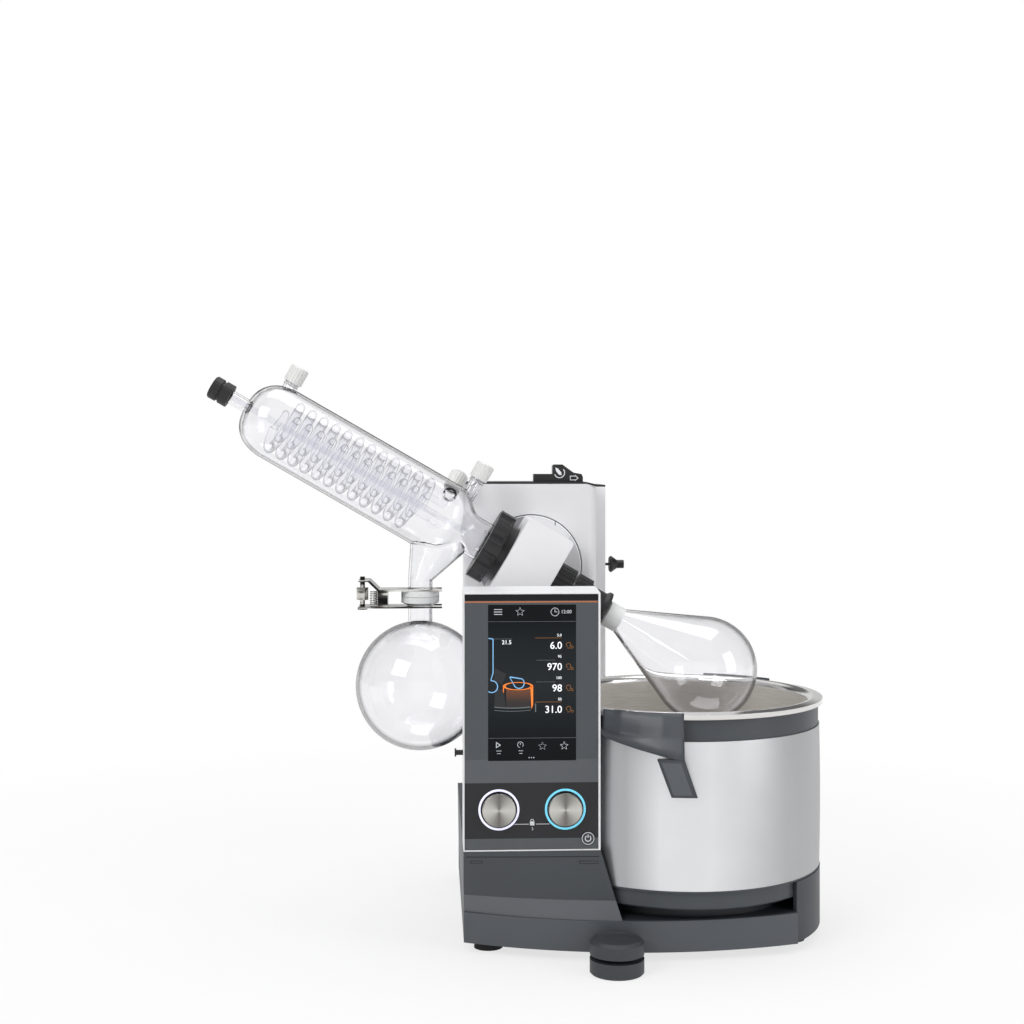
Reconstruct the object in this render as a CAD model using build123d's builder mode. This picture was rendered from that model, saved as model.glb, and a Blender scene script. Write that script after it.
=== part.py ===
from build123d import *
from math import acos, atan2, cos, degrees, pi, radians, sin, sqrt
import os

os.makedirs("parts", exist_ok=True)

# Rotary evaporator. The floor is z = 0, X runs to the right and Y away from the front.
# The origin is the middle of the footprint box, on the floor.

# Shared clearances and walls
fit_gap = 0.05
slip_gap = 0.3
seat_gap = 0.2
overrun = 5.0
wall = 3.0
sheet = 1.5

# Reference line: places to the left are measured from tower_x, places behind from bath_y
tower_x = 169.0
bath_y = -10.0

# Heating bath; rim_left is where the rim's left side stands
rim_left = 143.7
pot_r = 127.3
pot_wall = 1.2
pot_floor_z = 95.0
pot_corner_r = 14.0
rim_w = 16.4
rim_top_z = 238.0
rim_drop = 2.4
rim_depth = 7.0
rim_crest_r = 7.0
band_gap = 12.0
band_depth = 21.0
band_wall = 6.3
shell_proud = 1.1
shell_barrel = 0.9
shell_bottom_z = 69.6
rabbet = 5.5
heater_inset = 39.3
heater_tube_r = 4.0
bath_lift_range = 60.0

# Bath handles: shares of the reach for each point of the hood's section, from its top inner edge
handle_top_z = 237.5
handle_reach = 21.0
handle_tail_share = 0.22
handle_end = -97.3
handle_runs = (0, 0.25, 0.5, 0.75, 1)
finger_runs = (0.25, 0.5, 0.71)
handle_low_z = 196.0
handle_tail_z = 213.0
lip_h = 7.0
hood_shoulder_h = 11.5
hood_waist_h = 22.0
hood_shoulder_share = 0.28
hood_waist_share = 0.48
leg_start = -106.0
leg_end = -97.3
leg_low_start = -101.8
leg_low_end = -92.3
leg_low_z = 159.0
leg_low_t = 6.4
leg_t = 7.0
rear_handle_turn = 168.0

# Base
base_under_z = 9.5
base_top_z = 39.0
base_left = 223.0
base_back = 206.0
base_proud = 0.6
collar_t = 4.0
collar_end_angle = 100.0
front_arc_r = 439.2
front_arc_x = 37.1
front_arc_y = 310.9
cover_t = 4.0
cover_right_share = 0.694
seat_inset = 27.4
seat_h = 12.3
bottom_plate_t = 1.5
foot_r = 14.0
foot_taper_angle = 5.0
foot_angles = (-30.0, 40.0)

# Tower foot, console and column; left and right are measured from the reference line
console_left = 224.0
console_right = 94.0
console_front = 118.0
console_top_z = 348.5
console_rise = 2.7
tower_foot_top_z = 104.5
tower_foot_band_z = 57.0
tower_foot_flare = 20.0
tower_foot_tuck = 4.0
foot_bath_gap = 1.5
foot_bow = 0.15
bath_gap = 3.3
console_gap = 4.4
frame_left = 1.0
frame_right = 2.0
frame_top = 1.0
frame_low = 1.2
fascia_t = 3.0
column_left = 200.0
column_right = 62.0
column_top_z = 445.0
column_cap_t = 2.0
inlet_w = 30.0
inlet_h = 22.0
inlet_flange = 4.0

# Console controls
screen_w = 83.4
screen_bottom_z = 190.0
screen_top_z = 337.5
screen_t = 1.6
dial_pitch = 63.0
dial_z = 143.7
dial_r = 15.9
dial_proud = 5.0
ring_r = 19.4
ring_w = 2.6
ring_t = 2.0
button_r = 6.3
button_inset = 12.0
button_z = 115.9
button_travel = 1.5
board_t = 1.6
board_gap = 10.0
stem_r = 3.0
encoder_w = 14.0
encoder_t = 8.0
post_r = 2.5
switch_w = 8.0
clip_len = 8.0
hose_clip_z = 194.0

# Head box
head_left = 219.7
head_right = 81.0
head_front_y = 40.0
head_depth = 85.0
head_bottom_z = 305.0
head_top_z = 449.5
head_lid_t = 2.0
head_slope_w = 11.0
head_slope_h = 2.5
head_corner_r = 10.0
slider_inset = 19.0
slider_w = 18.0
slider_travel = 8.0
slider_x0 = 146.5
slider_x1 = 94.8
slider_step_x = 126.4
slider_flat_h = 8.3
slider_hump_h = 18.3
tongue_w = 4.0
frame_t = 6.0
frame_side = 5.0
frame_inset = 22.0
frame_h = 131.8

# Lift inside the column
lift_down = 55.0
actuator_r = 12.0
arm_w = 60.0
arm_h = 72.0
rod_r = 6.0
rod_pitch = 96.0
lift_rod_r = 7.0
carriage_low_z = 268.0
carriage_t = 26.0
bushing_r = 10.0
motor_w = 36.0
motor_h = 55.0

# Tilt pivot and drive axis
pivot_x = 150.3
pivot_z = 364.3
tilt_angle = 30.0
axis_drop = 2.5
disc_r = 53.0
disc_t = 8.0
disc_gap = 0.5
block_half_h = 43.3
block_corner_r = 4.0
block_front_y = 42.0
block_left_u = 31.5
block_right_u = 19.8
tilt_shaft_r = 15.0
tilt_bearing_r = 24.0
tunnel_r = 24.0
tunnel_wall = 4.0
motor_offset = 26.5
motor_r = 9.0
motor_shaft_r = 2.0
pulley_r = 7.5
rotor_pulley_r = 21.0
belt_t = 1.15
belt_u0 = 1.0
belt_u1 = 9.5
left_bearing_w = 7.3
right_bearing_w = 5.6

# Places along the drive axis, from the pivot; minus is the condenser's end
nut_u0 = -57.0
nut_u1 = -40.2
nut_r = 37.8
nut_lobes = 9
nut_lip_w = 2.4
nut_lip_drop = 2.1
scallop_depth = 4.4
scallop_share = 0.9
nut_side_gap = 2.0
collar_r = 30.0
flange_r = 27.0
flange_u0 = -54.7
flange_u1 = -50.3
hub_r = 16.0
hub_bore_r = 11.6
hub_u0 = -36.0
clamp_nut_u0 = 20.4
clamp_nut_u1 = 41.5
clamp_nut_r = 22.5
hub_nut_ribs = 24
hub_nut_rib_share = 0.5
clip_u0 = 45.1
clip_u1 = 60.4
clip_cone_u1 = 84.5
clip_r = 21.9
clip_ribs = 20
clip_rib_share = 0.4
clip_waist_r = 17.3
clip_lip_r = 20.4
duct_r = 11.3
duct_wall = 2.0
glass_wall = 2.2

# Evaporating flask
flask_neck_u0 = 87.2
flask_neck_u1 = 103.6
flask_neck_r = 13.1
flask_u = 204.0
flask_r = 54.0

# Condenser
jacket_r = 38.4
throat_r = 20.3
shoulder_u0 = -105.0
shoulder_u1 = -70.0
dome_u = -296.0
apex_u = -334.0
coil_r = 26.0
coil_tube_r = 4.8
coil_pitch = 13.8
coil_u0 = -296.0
coil_turns = 12
inner_coil_r = 13.0
inner_coil_tube_r = 3.6
feed_r = 7.0
feed_cap_u0 = -373.9
feed_cap_u1 = -352.6
feed_cap_r = 11.9
cap_r = 9.6
cap_h = 17.2
stub_r = 7.0
stub_bore_r = 4.5
nozzle_bore_r = 4.5
vent_u = -306.0
vent_cap_base = 43.5
vacuum_u = -94.5
vacuum_cap_base = 53.0
rear_cap_u = -112.0
rear_cap_base = 39.5
rear_cap_angle = 33.0
nozzle_u = -112.5
nozzle_vs = (25.5, -4.6)
nozzle_reach = 53.0
nozzle_len = 13.0
bead_t = 2.0
bead_proud = 1.6
cap_wall = 3.0
feed_tube_r = 3.0
feed_tube_u1 = -80.0

# Receiving side, places to the left of the reference line
receiver_x = 265.5
ball_z = 336.0
ball_r = 17.5
ball_flange_r = 19.2
ball_flange_h = 6.0
branch_neck_r = 12.4
branch_top_x = 246.0
branch_top_rx = 30.0
branch_top_ry = 24.0
branch_root_drop = 32.6
branch_root_h = 16.0
branch_neck_z = 352.0
ball_rise = 8.0
receiver_z = 245.8
receiver_r = 65.5
receiver_neck_r = 12.2
clamp_len = 84.0
clamp_w = 34.0
clamp_t = 1.6
clamp_reach = 22.0
clamp_pin_x = 303.0
clamp_screw_x = 324.0
fork_raise = 9.7
hinge_w = 10.0
screw_head_t = 2.0
clamp_nut_out_r = 6.0

# Levelling foot and small fittings
level_x = 82.7
level_y = 155.3
level_r = 25.3
level_foot_h = 14.4
level_knob_z = 17.8
level_knob_h = 14.2
outrigger_t = 3.2
outrigger_w = 30.0
stop_knob_z = 357.2
knob_gap = 7.7
knob_flange_r = 9.2
knob_flange_w = 2.6
knob_cone_w = 6.3
knob_grip_r = 4.7
knob_grip_w = 7.7

# Values that follow from the sizes above
rim_r = pot_r + rim_w
band_r = pot_r + band_gap
shell_r = band_r + shell_proud
base_bath_r = shell_r + base_proud
collar_inner_r = base_bath_r - collar_t
seat_r = shell_r - seat_inset
bath_x = tower_x - rim_left + rim_r
rim_low_z = rim_top_z - rim_depth
band_low_z = rim_low_z - band_depth
clear_r = rim_r + bath_gap
base_ring_z = base_top_z + seat_h + seat_gap
console_back = receiver_r + console_gap
column_front = sqrt(clear_r**2 - (column_right + bath_x - tower_x) ** 2)
bath_plane = Plane(origin=(bath_x, bath_y, 0), x_dir=(1, 0, 0), z_dir=(0, -1, 0))
bath_axis = Axis((bath_x, bath_y, 0), (0, 0, 1))
tilt = radians(tilt_angle)
along = Vector(cos(tilt), 0, -sin(tilt))
upward = Vector(sin(tilt), 0, cos(tilt))
pivot = Vector(tower_x - pivot_x, bath_y, pivot_z)
axis_point = pivot - upward * axis_drop
drive_plane = Plane(origin=axis_point, x_dir=along, z_dir=(0, -1, 0))
drive_axis = Axis(axis_point, along)


def bx(distance):
    """X of a place to the left of the reference line."""
    return tower_x - distance


def by(distance):
    """Y of a place behind the bath's centre."""
    return bath_y + distance


def upright(y):
    """Sketch plane that faces the front at a place behind the bath's centre."""
    return Plane(origin=(0, by(y), 0), x_dir=(1, 0, 0), z_dir=(0, -1, 0))


def across(u):
    """Sketch plane square to the drive axis; its X runs away from the front."""
    return Plane(origin=axis_point + along * u, x_dir=(0, 1, 0), z_dir=along)


def ring_about_drive(u0, u1, r_in, r_out):
    """Ring on the drive axis between two places along it."""
    with BuildPart() as ring:
        with BuildSketch(across(u0)):
            Circle(r_out)
            if r_in > 0:
                Circle(r_in, mode=Mode.SUBTRACT)
        extrude(amount=u1 - u0)
    return ring.part


def turned_about_drive(points):
    """Solid turned about the drive axis from points (u, r)."""
    with BuildPart() as body:
        with BuildSketch(drive_plane):
            with BuildLine():
                Polyline(*points, close=True)
            make_face()
        revolve(axis=drive_axis)
    return body.part


def front_edge_y(x, inset):
    """Y of the base's curved front at x, set back by an inset."""
    run = x - bx(front_arc_x)
    return by(front_arc_y) - sqrt((front_arc_r - inset) ** 2 - run**2)


# Heating bath: pot, band, shell, bottom ring and what lies between them
with BuildPart() as bath_pot:
    with BuildSketch(bath_plane):
        with BuildLine():
            Polyline(
                (0, pot_floor_z),
                (pot_r, pot_floor_z),
                (pot_r, rim_top_z),
                (rim_r, rim_top_z - rim_drop),
                (rim_r, rim_low_z),
                (rim_r - pot_wall, rim_low_z),
                (rim_r - pot_wall, rim_top_z - rim_drop - pot_wall),
                (pot_r + pot_wall, rim_top_z - pot_wall),
                (pot_r + pot_wall, pot_floor_z - pot_wall),
                (0, pot_floor_z - pot_wall),
                close=True,
            )
        make_face()
    revolve(axis=bath_axis)
    corners = bath_pot.edges().filter_by(GeomType.CIRCLE)
    inner = corners.filter_by(lambda e: abs(e.radius - pot_r) < fit_gap).sort_by(Axis.Z)
    outer = corners.filter_by(lambda e: abs(e.radius - pot_r - pot_wall) < fit_gap).sort_by(Axis.Z)
    fillet(inner[0], pot_corner_r)
    fillet(outer[0], pot_corner_r + pot_wall)
    fillet(inner[-1], rim_crest_r)
    fillet(outer[-1], rim_crest_r - pot_wall)
bath_pot.part.label = "bath_pot"
export_step(bath_pot.part, "parts/bath_pot.step")

band_top_z = rim_top_z - rim_drop - pot_wall - seat_gap
with BuildPart() as bath_band:
    with BuildSketch(bath_plane):
        with BuildLine():
            Polyline(
                (band_r - band_wall, band_low_z - rabbet),
                (band_r - sheet, band_low_z - rabbet),
                (band_r - sheet, band_low_z),
                (band_r, band_low_z),
                (band_r, band_top_z),
                (band_r - band_wall, band_top_z),
                close=True,
            )
        make_face()
    revolve(axis=bath_axis)
bath_band.part.label = "bath_band"
export_step(bath_band.part, "parts/bath_band.step")

with BuildPart() as bath_shell:
    with BuildSketch(bath_plane):
        with BuildLine():
            Line((shell_r, shell_bottom_z), (shell_r - sheet, shell_bottom_z))
            Line((shell_r - sheet, shell_bottom_z), (shell_r - sheet, band_low_z))
            Line((shell_r - sheet, band_low_z), (shell_r, band_low_z))
            ThreePointArc(
                (shell_r, band_low_z),
                (shell_r + shell_barrel, (shell_bottom_z + band_low_z) / 2),
                (shell_r, shell_bottom_z),
            )
        make_face()
    revolve(axis=bath_axis)
bath_shell.part.label = "bath_shell"
export_step(bath_shell.part, "parts/bath_shell.step")

ring_seat_r = shell_r - sheet - seat_gap
bottom_ring_r = collar_inner_r - slip_gap
ring_lip_z = shell_bottom_z - seat_gap - sheet
with BuildPart() as bath_bottom_ring:
    with BuildSketch(bath_plane):
        with BuildLine():
            Polyline(
                (0, base_ring_z),
                (bottom_ring_r - sheet, base_ring_z),
                (bottom_ring_r, base_ring_z + sheet),
                (bottom_ring_r, ring_lip_z),
                (shell_r, ring_lip_z),
                (shell_r, shell_bottom_z - seat_gap),
                (ring_seat_r, shell_bottom_z - seat_gap),
                (ring_seat_r, shell_bottom_z + rabbet),
                (ring_seat_r - 2 * wall, shell_bottom_z + rabbet),
                (ring_seat_r - 2 * wall, base_ring_z + wall),
                (0, base_ring_z + wall),
                close=True,
            )
        make_face()
    revolve(axis=bath_axis)
bath_bottom_ring.part.label = "bath_bottom_ring"
export_step(bath_bottom_ring.part, "parts/bath_bottom_ring.step")

heater_r = pot_r - heater_inset
heater_z = pot_floor_z - pot_wall - heater_tube_r - seat_gap
with BuildPart() as heating_element:
    with BuildSketch(bath_plane):
        with Locations((heater_r, heater_z)):
            Circle(heater_tube_r)
    revolve(axis=bath_axis)
    with BuildSketch(Plane.XY.offset(base_ring_z + wall)):
        with Locations((bath_x - heater_r, bath_y), (bath_x + heater_r, bath_y), (bath_x, bath_y + heater_r)):
            Circle(heater_tube_r / 2)
    extrude(amount=heater_z - base_ring_z - wall)
heating_element.part.label = "heating_element"
export_step(heating_element.part, "parts/heating_element.step")


def on_bath(radius, angle):
    """Point (x, y) at a radius and angle about the bath's centre."""
    return (bath_x + radius * cos(radians(angle)), bath_y + radius * sin(radians(angle)))


def radial_plane(angle):
    """Upright plane through the bath's axis: sketch X is the radius and Y the height."""
    outward = (cos(radians(angle)), sin(radians(angle)), 0)
    across_it = (sin(radians(angle)), -cos(radians(angle)), 0)
    return Plane(origin=(bath_x, bath_y, 0), x_dir=outward, z_dir=across_it)


# Bath handles: a hood that flares out of the rim into a lip for the fingers, and a leg below it
hood_in_r = shell_r + shell_barrel + slip_gap
hood_top_r = rim_r + slip_gap
handle_tail_r = hood_top_r + sheet + handle_reach * handle_tail_share
console_side_x = tower_x - console_right + slip_gap
handle_start = -degrees(pi - acos((bath_x - console_side_x) / handle_tail_r))
crest_r = hood_top_r + sheet


def hood_sizes(run):
    """Angle, reach and lower edge of the hood at a share of its run from the tail to the end."""
    angle = handle_start + (handle_end - handle_start) * run
    reach = handle_reach * (handle_tail_share + (1 - handle_tail_share) * run)
    return angle, reach, handle_tail_z + (handle_low_z - handle_tail_z) * run


def hood_section(run):
    """Outline of the hood across its run."""
    angle, reach, low_z = hood_sizes(run)
    with BuildSketch(radial_plane(angle)) as section:
        with BuildLine():
            Polyline(
                (hood_in_r, handle_top_z),
                (crest_r, handle_top_z),
                (crest_r + reach * hood_shoulder_share, handle_top_z - hood_shoulder_h),
                (crest_r + reach * hood_waist_share, handle_top_z - hood_waist_h),
                (crest_r + reach, low_z + lip_h),
                (crest_r + reach, low_z),
                (hood_in_r, low_z),
                close=True,
            )
        make_face()
    return section.sketch


def finger_section(run):
    """Outline of the finger hollow under the hood across its run."""
    angle, reach, low_z = hood_sizes(run)
    with BuildSketch(radial_plane(angle)) as section:
        with BuildLine():
            Polyline(
                (crest_r, handle_top_z - hood_waist_h),
                (crest_r + reach * hood_waist_share - wall, handle_top_z - hood_waist_h - wall),
                (crest_r + reach - wall, low_z + lip_h - wall),
                (crest_r + reach - wall, low_z - overrun),
                (crest_r, low_z - overrun),
                close=True,
            )
        make_face()
    return section.sketch


with BuildPart() as front_handle:
    for run in handle_runs:
        add(hood_section(run))
    loft(ruled=True)
    with BuildSketch(Plane.XY.offset(rim_low_z - slip_gap)):
        with Locations((bath_x, bath_y)):
            Circle(hood_top_r)
    extrude(amount=rim_depth + overrun, mode=Mode.SUBTRACT)
    leg_top_r = crest_r + handle_reach
    leg_low_r = hood_in_r + leg_low_t
    leg_sections = (
        (handle_low_z + sheet, leg_start, leg_end, leg_top_r - leg_t, leg_top_r),
        (leg_low_z, leg_low_start, leg_low_end, leg_low_r - leg_t, leg_low_r),
    )
    for section_z, section_start, section_end, section_in_r, section_out_r in leg_sections:
        with BuildSketch(Plane.XY.offset(section_z)):
            with BuildLine():
                Polyline(
                    on_bath(section_in_r, section_start),
                    on_bath(section_out_r, section_start),
                    on_bath(section_out_r, section_end),
                    on_bath(section_in_r, section_end),
                    close=True,
                )
            make_face()
    loft()
    with BuildSketch(Plane.XY.offset(leg_low_z - overrun)):
        with Locations((bath_x, bath_y)):
            Circle(hood_in_r)
    extrude(amount=handle_top_z - leg_low_z + 2 * overrun, mode=Mode.SUBTRACT)

with BuildPart() as finger_hollow:
    for run in finger_runs:
        add(finger_section(run))
    loft(ruled=True)

with BuildPart() as bath_handles:
    add(front_handle.part - finger_hollow.part)
    add((front_handle.part - finger_hollow.part).rotate(bath_axis, rear_handle_turn))
bath_handles.part.label = "bath_handles"
export_step(bath_handles.part, "parts/bath_handles.step")


# Base: one plan serves the housing, its hollow and the bottom plate
def base_plan(inset, front_inset):
    """Plan of the base, set in at its sides and its front: a circle and a block under the tower."""
    x0 = bx(base_left) + inset
    x1 = bx(column_right) - inset
    y1 = by(base_back) - inset
    x2 = bath_x + base_bath_r + overrun
    y2 = by(-base_bath_r - overrun)
    middle = (x0 + x2) / 2
    with BuildSketch() as plan:
        with Locations((bath_x, bath_y)):
            Circle(base_bath_r - inset)
        with BuildLine():
            Polyline((x0, y2), (bath_x, y2), (bath_x, bath_y), (x1, bath_y), (x1, y1), (x0, y1), close=True)
        make_face()
        with BuildLine():
            ThreePointArc(
                (x0 - overrun, front_edge_y(x0 - overrun, front_inset)),
                (middle, front_edge_y(middle, front_inset)),
                (x2, front_edge_y(x2, front_inset)),
            )
            Polyline(
                (x2, front_edge_y(x2, front_inset)),
                (x2, y2 - overrun),
                (x0 - overrun, y2 - overrun),
                (x0 - overrun, front_edge_y(x0 - overrun, front_inset)),
            )
        make_face(mode=Mode.SUBTRACT)
    return plan.sketch


housing_inset = cover_t + seat_gap
bar_z = level_foot_h + (level_knob_z - level_foot_h - outrigger_t) / 2
bar_back_y = front_edge_y(bx(level_x), housing_inset) + 2 * outrigger_w
collar_start_angle = -degrees(acos(cover_right_share))
with BuildPart() as base_housing:
    with BuildSketch(Plane.XY.offset(base_under_z)):
        add(base_plan(0, housing_inset))
    extrude(amount=base_top_z - base_under_z)
    with BuildSketch(Plane.XY.offset(base_top_z)):
        with Locations((bath_x, bath_y)):
            Circle(base_bath_r)
            Circle(collar_inner_r, mode=Mode.SUBTRACT)
        with BuildLine():
            Polyline(
                (bath_x, bath_y),
                on_bath(2 * base_bath_r, collar_start_angle),
                on_bath(2 * base_bath_r, (collar_start_angle + collar_end_angle) / 2),
                on_bath(2 * base_bath_r, collar_end_angle),
                close=True,
            )
        make_face(mode=Mode.INTERSECT)
    extrude(amount=ring_lip_z - slip_gap - base_top_z)
    with BuildSketch(Plane.XY.offset(base_top_z)):
        with Locations((bath_x, bath_y)):
            Circle(seat_r)
    extrude(amount=seat_h)
    seat_rim = base_housing.edges().filter_by(lambda e: abs(e.center().Z - base_top_z - seat_h) < fit_gap)
    fillet(seat_rim, wall)
    with BuildSketch(Plane.XY.offset(base_under_z)):
        add(base_plan(wall, housing_inset + wall))
        with Locations((bx(level_x), bar_back_y - outrigger_w)):
            Rectangle(outrigger_w + 2 * wall, 2 * outrigger_w + 2 * wall, mode=Mode.SUBTRACT)
    extrude(amount=base_top_z - base_under_z - wall, mode=Mode.SUBTRACT)
    with BuildSketch(Plane.XY.offset(bar_z - fit_gap)):
        with Locations((bx(level_x), bar_back_y - outrigger_w - overrun)):
            Rectangle(outrigger_w + 2 * fit_gap, 2 * outrigger_w + 2 * overrun)
    extrude(amount=outrigger_t + 2 * fit_gap, mode=Mode.SUBTRACT)
base_housing.part.label = "base_housing"
export_step(base_housing.part, "parts/base_housing.step")

with BuildPart() as base_front_cover:
    with BuildSketch(Plane.XY.offset(base_under_z)):
        x0 = bx(base_left)
        x1 = bath_x + base_bath_r * cover_right_share
        middle = (x0 + x1) / 2
        with BuildLine():
            ThreePointArc(
                (x0, front_edge_y(x0, 0)), (middle, front_edge_y(middle, 0)), (x1, front_edge_y(x1, 0))
            )
            Line((x1, front_edge_y(x1, 0)), (x1, front_edge_y(x1, cover_t)))
            ThreePointArc(
                (x1, front_edge_y(x1, cover_t)),
                (middle, front_edge_y(middle, cover_t)),
                (x0, front_edge_y(x0, cover_t)),
            )
            Line((x0, front_edge_y(x0, cover_t)), (x0, front_edge_y(x0, 0)))
        make_face()
    extrude(amount=base_top_z - base_under_z)
    with BuildSketch(Plane.XY.offset(bar_z - slip_gap)):
        with Locations((bx(level_x), by(-level_y) + outrigger_w)):
            Rectangle(outrigger_w + 2 * slip_gap, 2 * outrigger_w)
    extrude(amount=outrigger_t + 2 * slip_gap, mode=Mode.SUBTRACT)
base_front_cover.part.label = "base_front_cover"
export_step(base_front_cover.part, "parts/base_front_cover.step")

with BuildPart() as base_bottom_plate:
    with BuildSketch(Plane.XY.offset(base_under_z - bottom_plate_t)):
        add(base_plan(sheet, housing_inset + sheet))
    extrude(amount=bottom_plate_t)
base_bottom_plate.part.label = "base_bottom_plate"
export_step(base_bottom_plate.part, "parts/base_bottom_plate.step")

foot_inset = foot_r + 2 * wall + housing_inset
foot_places = (
    (bx(base_left) + foot_inset, by(-console_back)),
    (bx(base_left) + foot_inset, by(base_back) - foot_inset),
    (bx(column_right) - foot_inset, by(base_back) - foot_inset),
    on_bath(base_bath_r - foot_inset, foot_angles[0]),
    on_bath(base_bath_r - foot_inset, foot_angles[1]),
)
with BuildPart() as rubber_feet:
    with BuildSketch():
        with Locations(*foot_places):
            Circle(foot_r)
    extrude(amount=base_under_z - bottom_plate_t, taper=foot_taper_angle)
rubber_feet.part.label = "rubber_feet"
export_step(rubber_feet.part, "parts/rubber_feet.step")

with BuildPart() as foot_outrigger:
    with BuildSketch(Plane.XY.offset(bar_z)):
        with Locations((bx(level_x), (by(-level_y) + bar_back_y) / 2)):
            Rectangle(outrigger_w, bar_back_y - by(-level_y))
        with Locations((bx(level_x), by(-level_y))):
            Circle(outrigger_w / 2)
            Circle(outrigger_w / 6 + fit_gap, mode=Mode.SUBTRACT)
    extrude(amount=outrigger_t)
foot_outrigger.part.label = "foot_outrigger"
export_step(foot_outrigger.part, "parts/foot_outrigger.step")

# Levelling foot: a round foot and a dished knob on one stud that turns in the outrigger
stud_r = outrigger_w / 6
knob_top_z = level_knob_z + level_knob_h
with BuildPart() as levelling_foot:
    with BuildSketch(Plane(origin=(bx(level_x), by(-level_y), 0), x_dir=(1, 0, 0), z_dir=(0, -1, 0))):
        with BuildLine():
            Polyline(
                (0, 0),
                (level_r - sheet, 0),
                (level_r, sheet),
                (level_r, level_foot_h - slip_gap),
                (stud_r, level_foot_h - slip_gap),
                (stud_r, level_knob_z + slip_gap),
                (level_r, level_knob_z + slip_gap),
                (level_r, knob_top_z - wall),
                (level_r - wall, knob_top_z),
                (level_r - 2 * wall, knob_top_z - sheet),
                (0, knob_top_z - wall),
                close=True,
            )
        make_face()
    revolve(axis=Axis((bx(level_x), by(-level_y), 0), (0, 0, 1)))
levelling_foot.part.label = "levelling_foot"
export_step(levelling_foot.part, "parts/levelling_foot.step")


# Tower foot: a hollow cover that leans out from the base's curve to the console's straight front
def tower_foot_section(z, share, inset):
    """Plan of the tower foot at a height; share 0 is its curved bottom and 1 its straight top."""
    left = bx(base_left + (console_left - base_left) * share) + inset
    right = bx(console_right - tower_foot_flare * (1 - share)) - inset
    middle = (left + right) / 2
    tuck = tower_foot_tuck * (0 if share in (0, 1) else 1)
    rows = []
    for x in (left, middle, right):
        curved = front_edge_y(x, sheet)
        rows.append(curved + (by(-console_front) - curved) * share + inset + tuck)
    back = by(base_back) - inset
    with BuildSketch(Plane.XY.offset(z)) as section:
        with BuildLine():
            ThreePointArc((left, rows[0]), (middle, rows[1] - foot_bow * share), (right, rows[2]))
            Polyline((right, rows[2]), (bx(column_right) - inset, back), (left, back), (left, rows[0]))
        make_face()
    return section.sketch


def tower_foot_block(inset):
    """Solid of the tower foot, set in by an inset and cut round the bath."""
    band_share = (tower_foot_band_z - base_top_z) / (tower_foot_top_z - base_top_z)
    with BuildPart() as block:
        add(tower_foot_section(base_top_z, 0, inset))
        add(tower_foot_section(tower_foot_band_z, band_share, inset))
        add(tower_foot_section(tower_foot_top_z - inset, 1, inset))
        loft(ruled=True)
        with BuildSketch(Plane.XY.offset(base_top_z)):
            with Locations((bath_x, bath_y)):
                Circle(shell_r + shell_barrel + foot_bath_gap + inset)
        extrude(amount=tower_foot_top_z - base_top_z, mode=Mode.SUBTRACT)
    return block.part


column_back = base_back - cover_t
column_x = bx((column_left + column_right) / 2)
column_mid_y = by((column_front + column_back) / 2)
foot_back_y = by(base_back)
inlet_z = (tower_foot_band_z + tower_foot_top_z) / 2
with BuildPart() as tower_foot_cover:
    add(tower_foot_block(0))
    add(tower_foot_block(wall), mode=Mode.SUBTRACT)
    with BuildSketch(Plane.XY.offset(tower_foot_top_z - 2 * wall)):
        with Locations((column_x, column_mid_y)):
            Circle(actuator_r + slip_gap)
    extrude(amount=3 * wall, mode=Mode.SUBTRACT)
    with BuildSketch(Plane.XZ.offset(-foot_back_y - overrun)):
        with Locations((column_x, inlet_z)):
            Rectangle(inlet_w + 2 * seat_gap, inlet_h + 2 * seat_gap)
    extrude(amount=2 * overrun, mode=Mode.SUBTRACT)
tower_foot_cover.part.label = "tower_foot_cover"
export_step(tower_foot_cover.part, "parts/tower_foot_cover.step")

# Mains inlet in the back wall of the tower foot, with its recess and three pins
with BuildPart() as mains_inlet:
    with BuildSketch(Plane.XZ.offset(-foot_back_y)):
        with Locations((column_x, inlet_z)):
            Rectangle(inlet_w, inlet_h)
    extrude(amount=4 * wall)
    with BuildSketch(Plane.XZ.offset(-foot_back_y)):
        with Locations((column_x, inlet_z)):
            Rectangle(inlet_w + 2 * inlet_flange, inlet_h + 2 * inlet_flange)
    extrude(amount=-sheet)
    with BuildSketch(Plane.XZ.offset(-foot_back_y - sheet)):
        with Locations((column_x, inlet_z)):
            Rectangle(inlet_w - 2 * sheet, inlet_h - 2 * sheet)
    extrude(amount=3 * wall, mode=Mode.SUBTRACT)
    with BuildSketch(Plane.XZ.offset(-foot_back_y + 3 * wall)):
        with Locations((column_x, inlet_z)):
            with Locations((0, sheet), (inlet_w / 4, -sheet), (-inlet_w / 4, -sheet)):
                Rectangle(sheet, 2 * sheet)
    extrude(amount=-2 * wall)
mains_inlet.part.label = "mains_inlet"
export_step(mains_inlet.part, "parts/mains_inlet.step")

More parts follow.
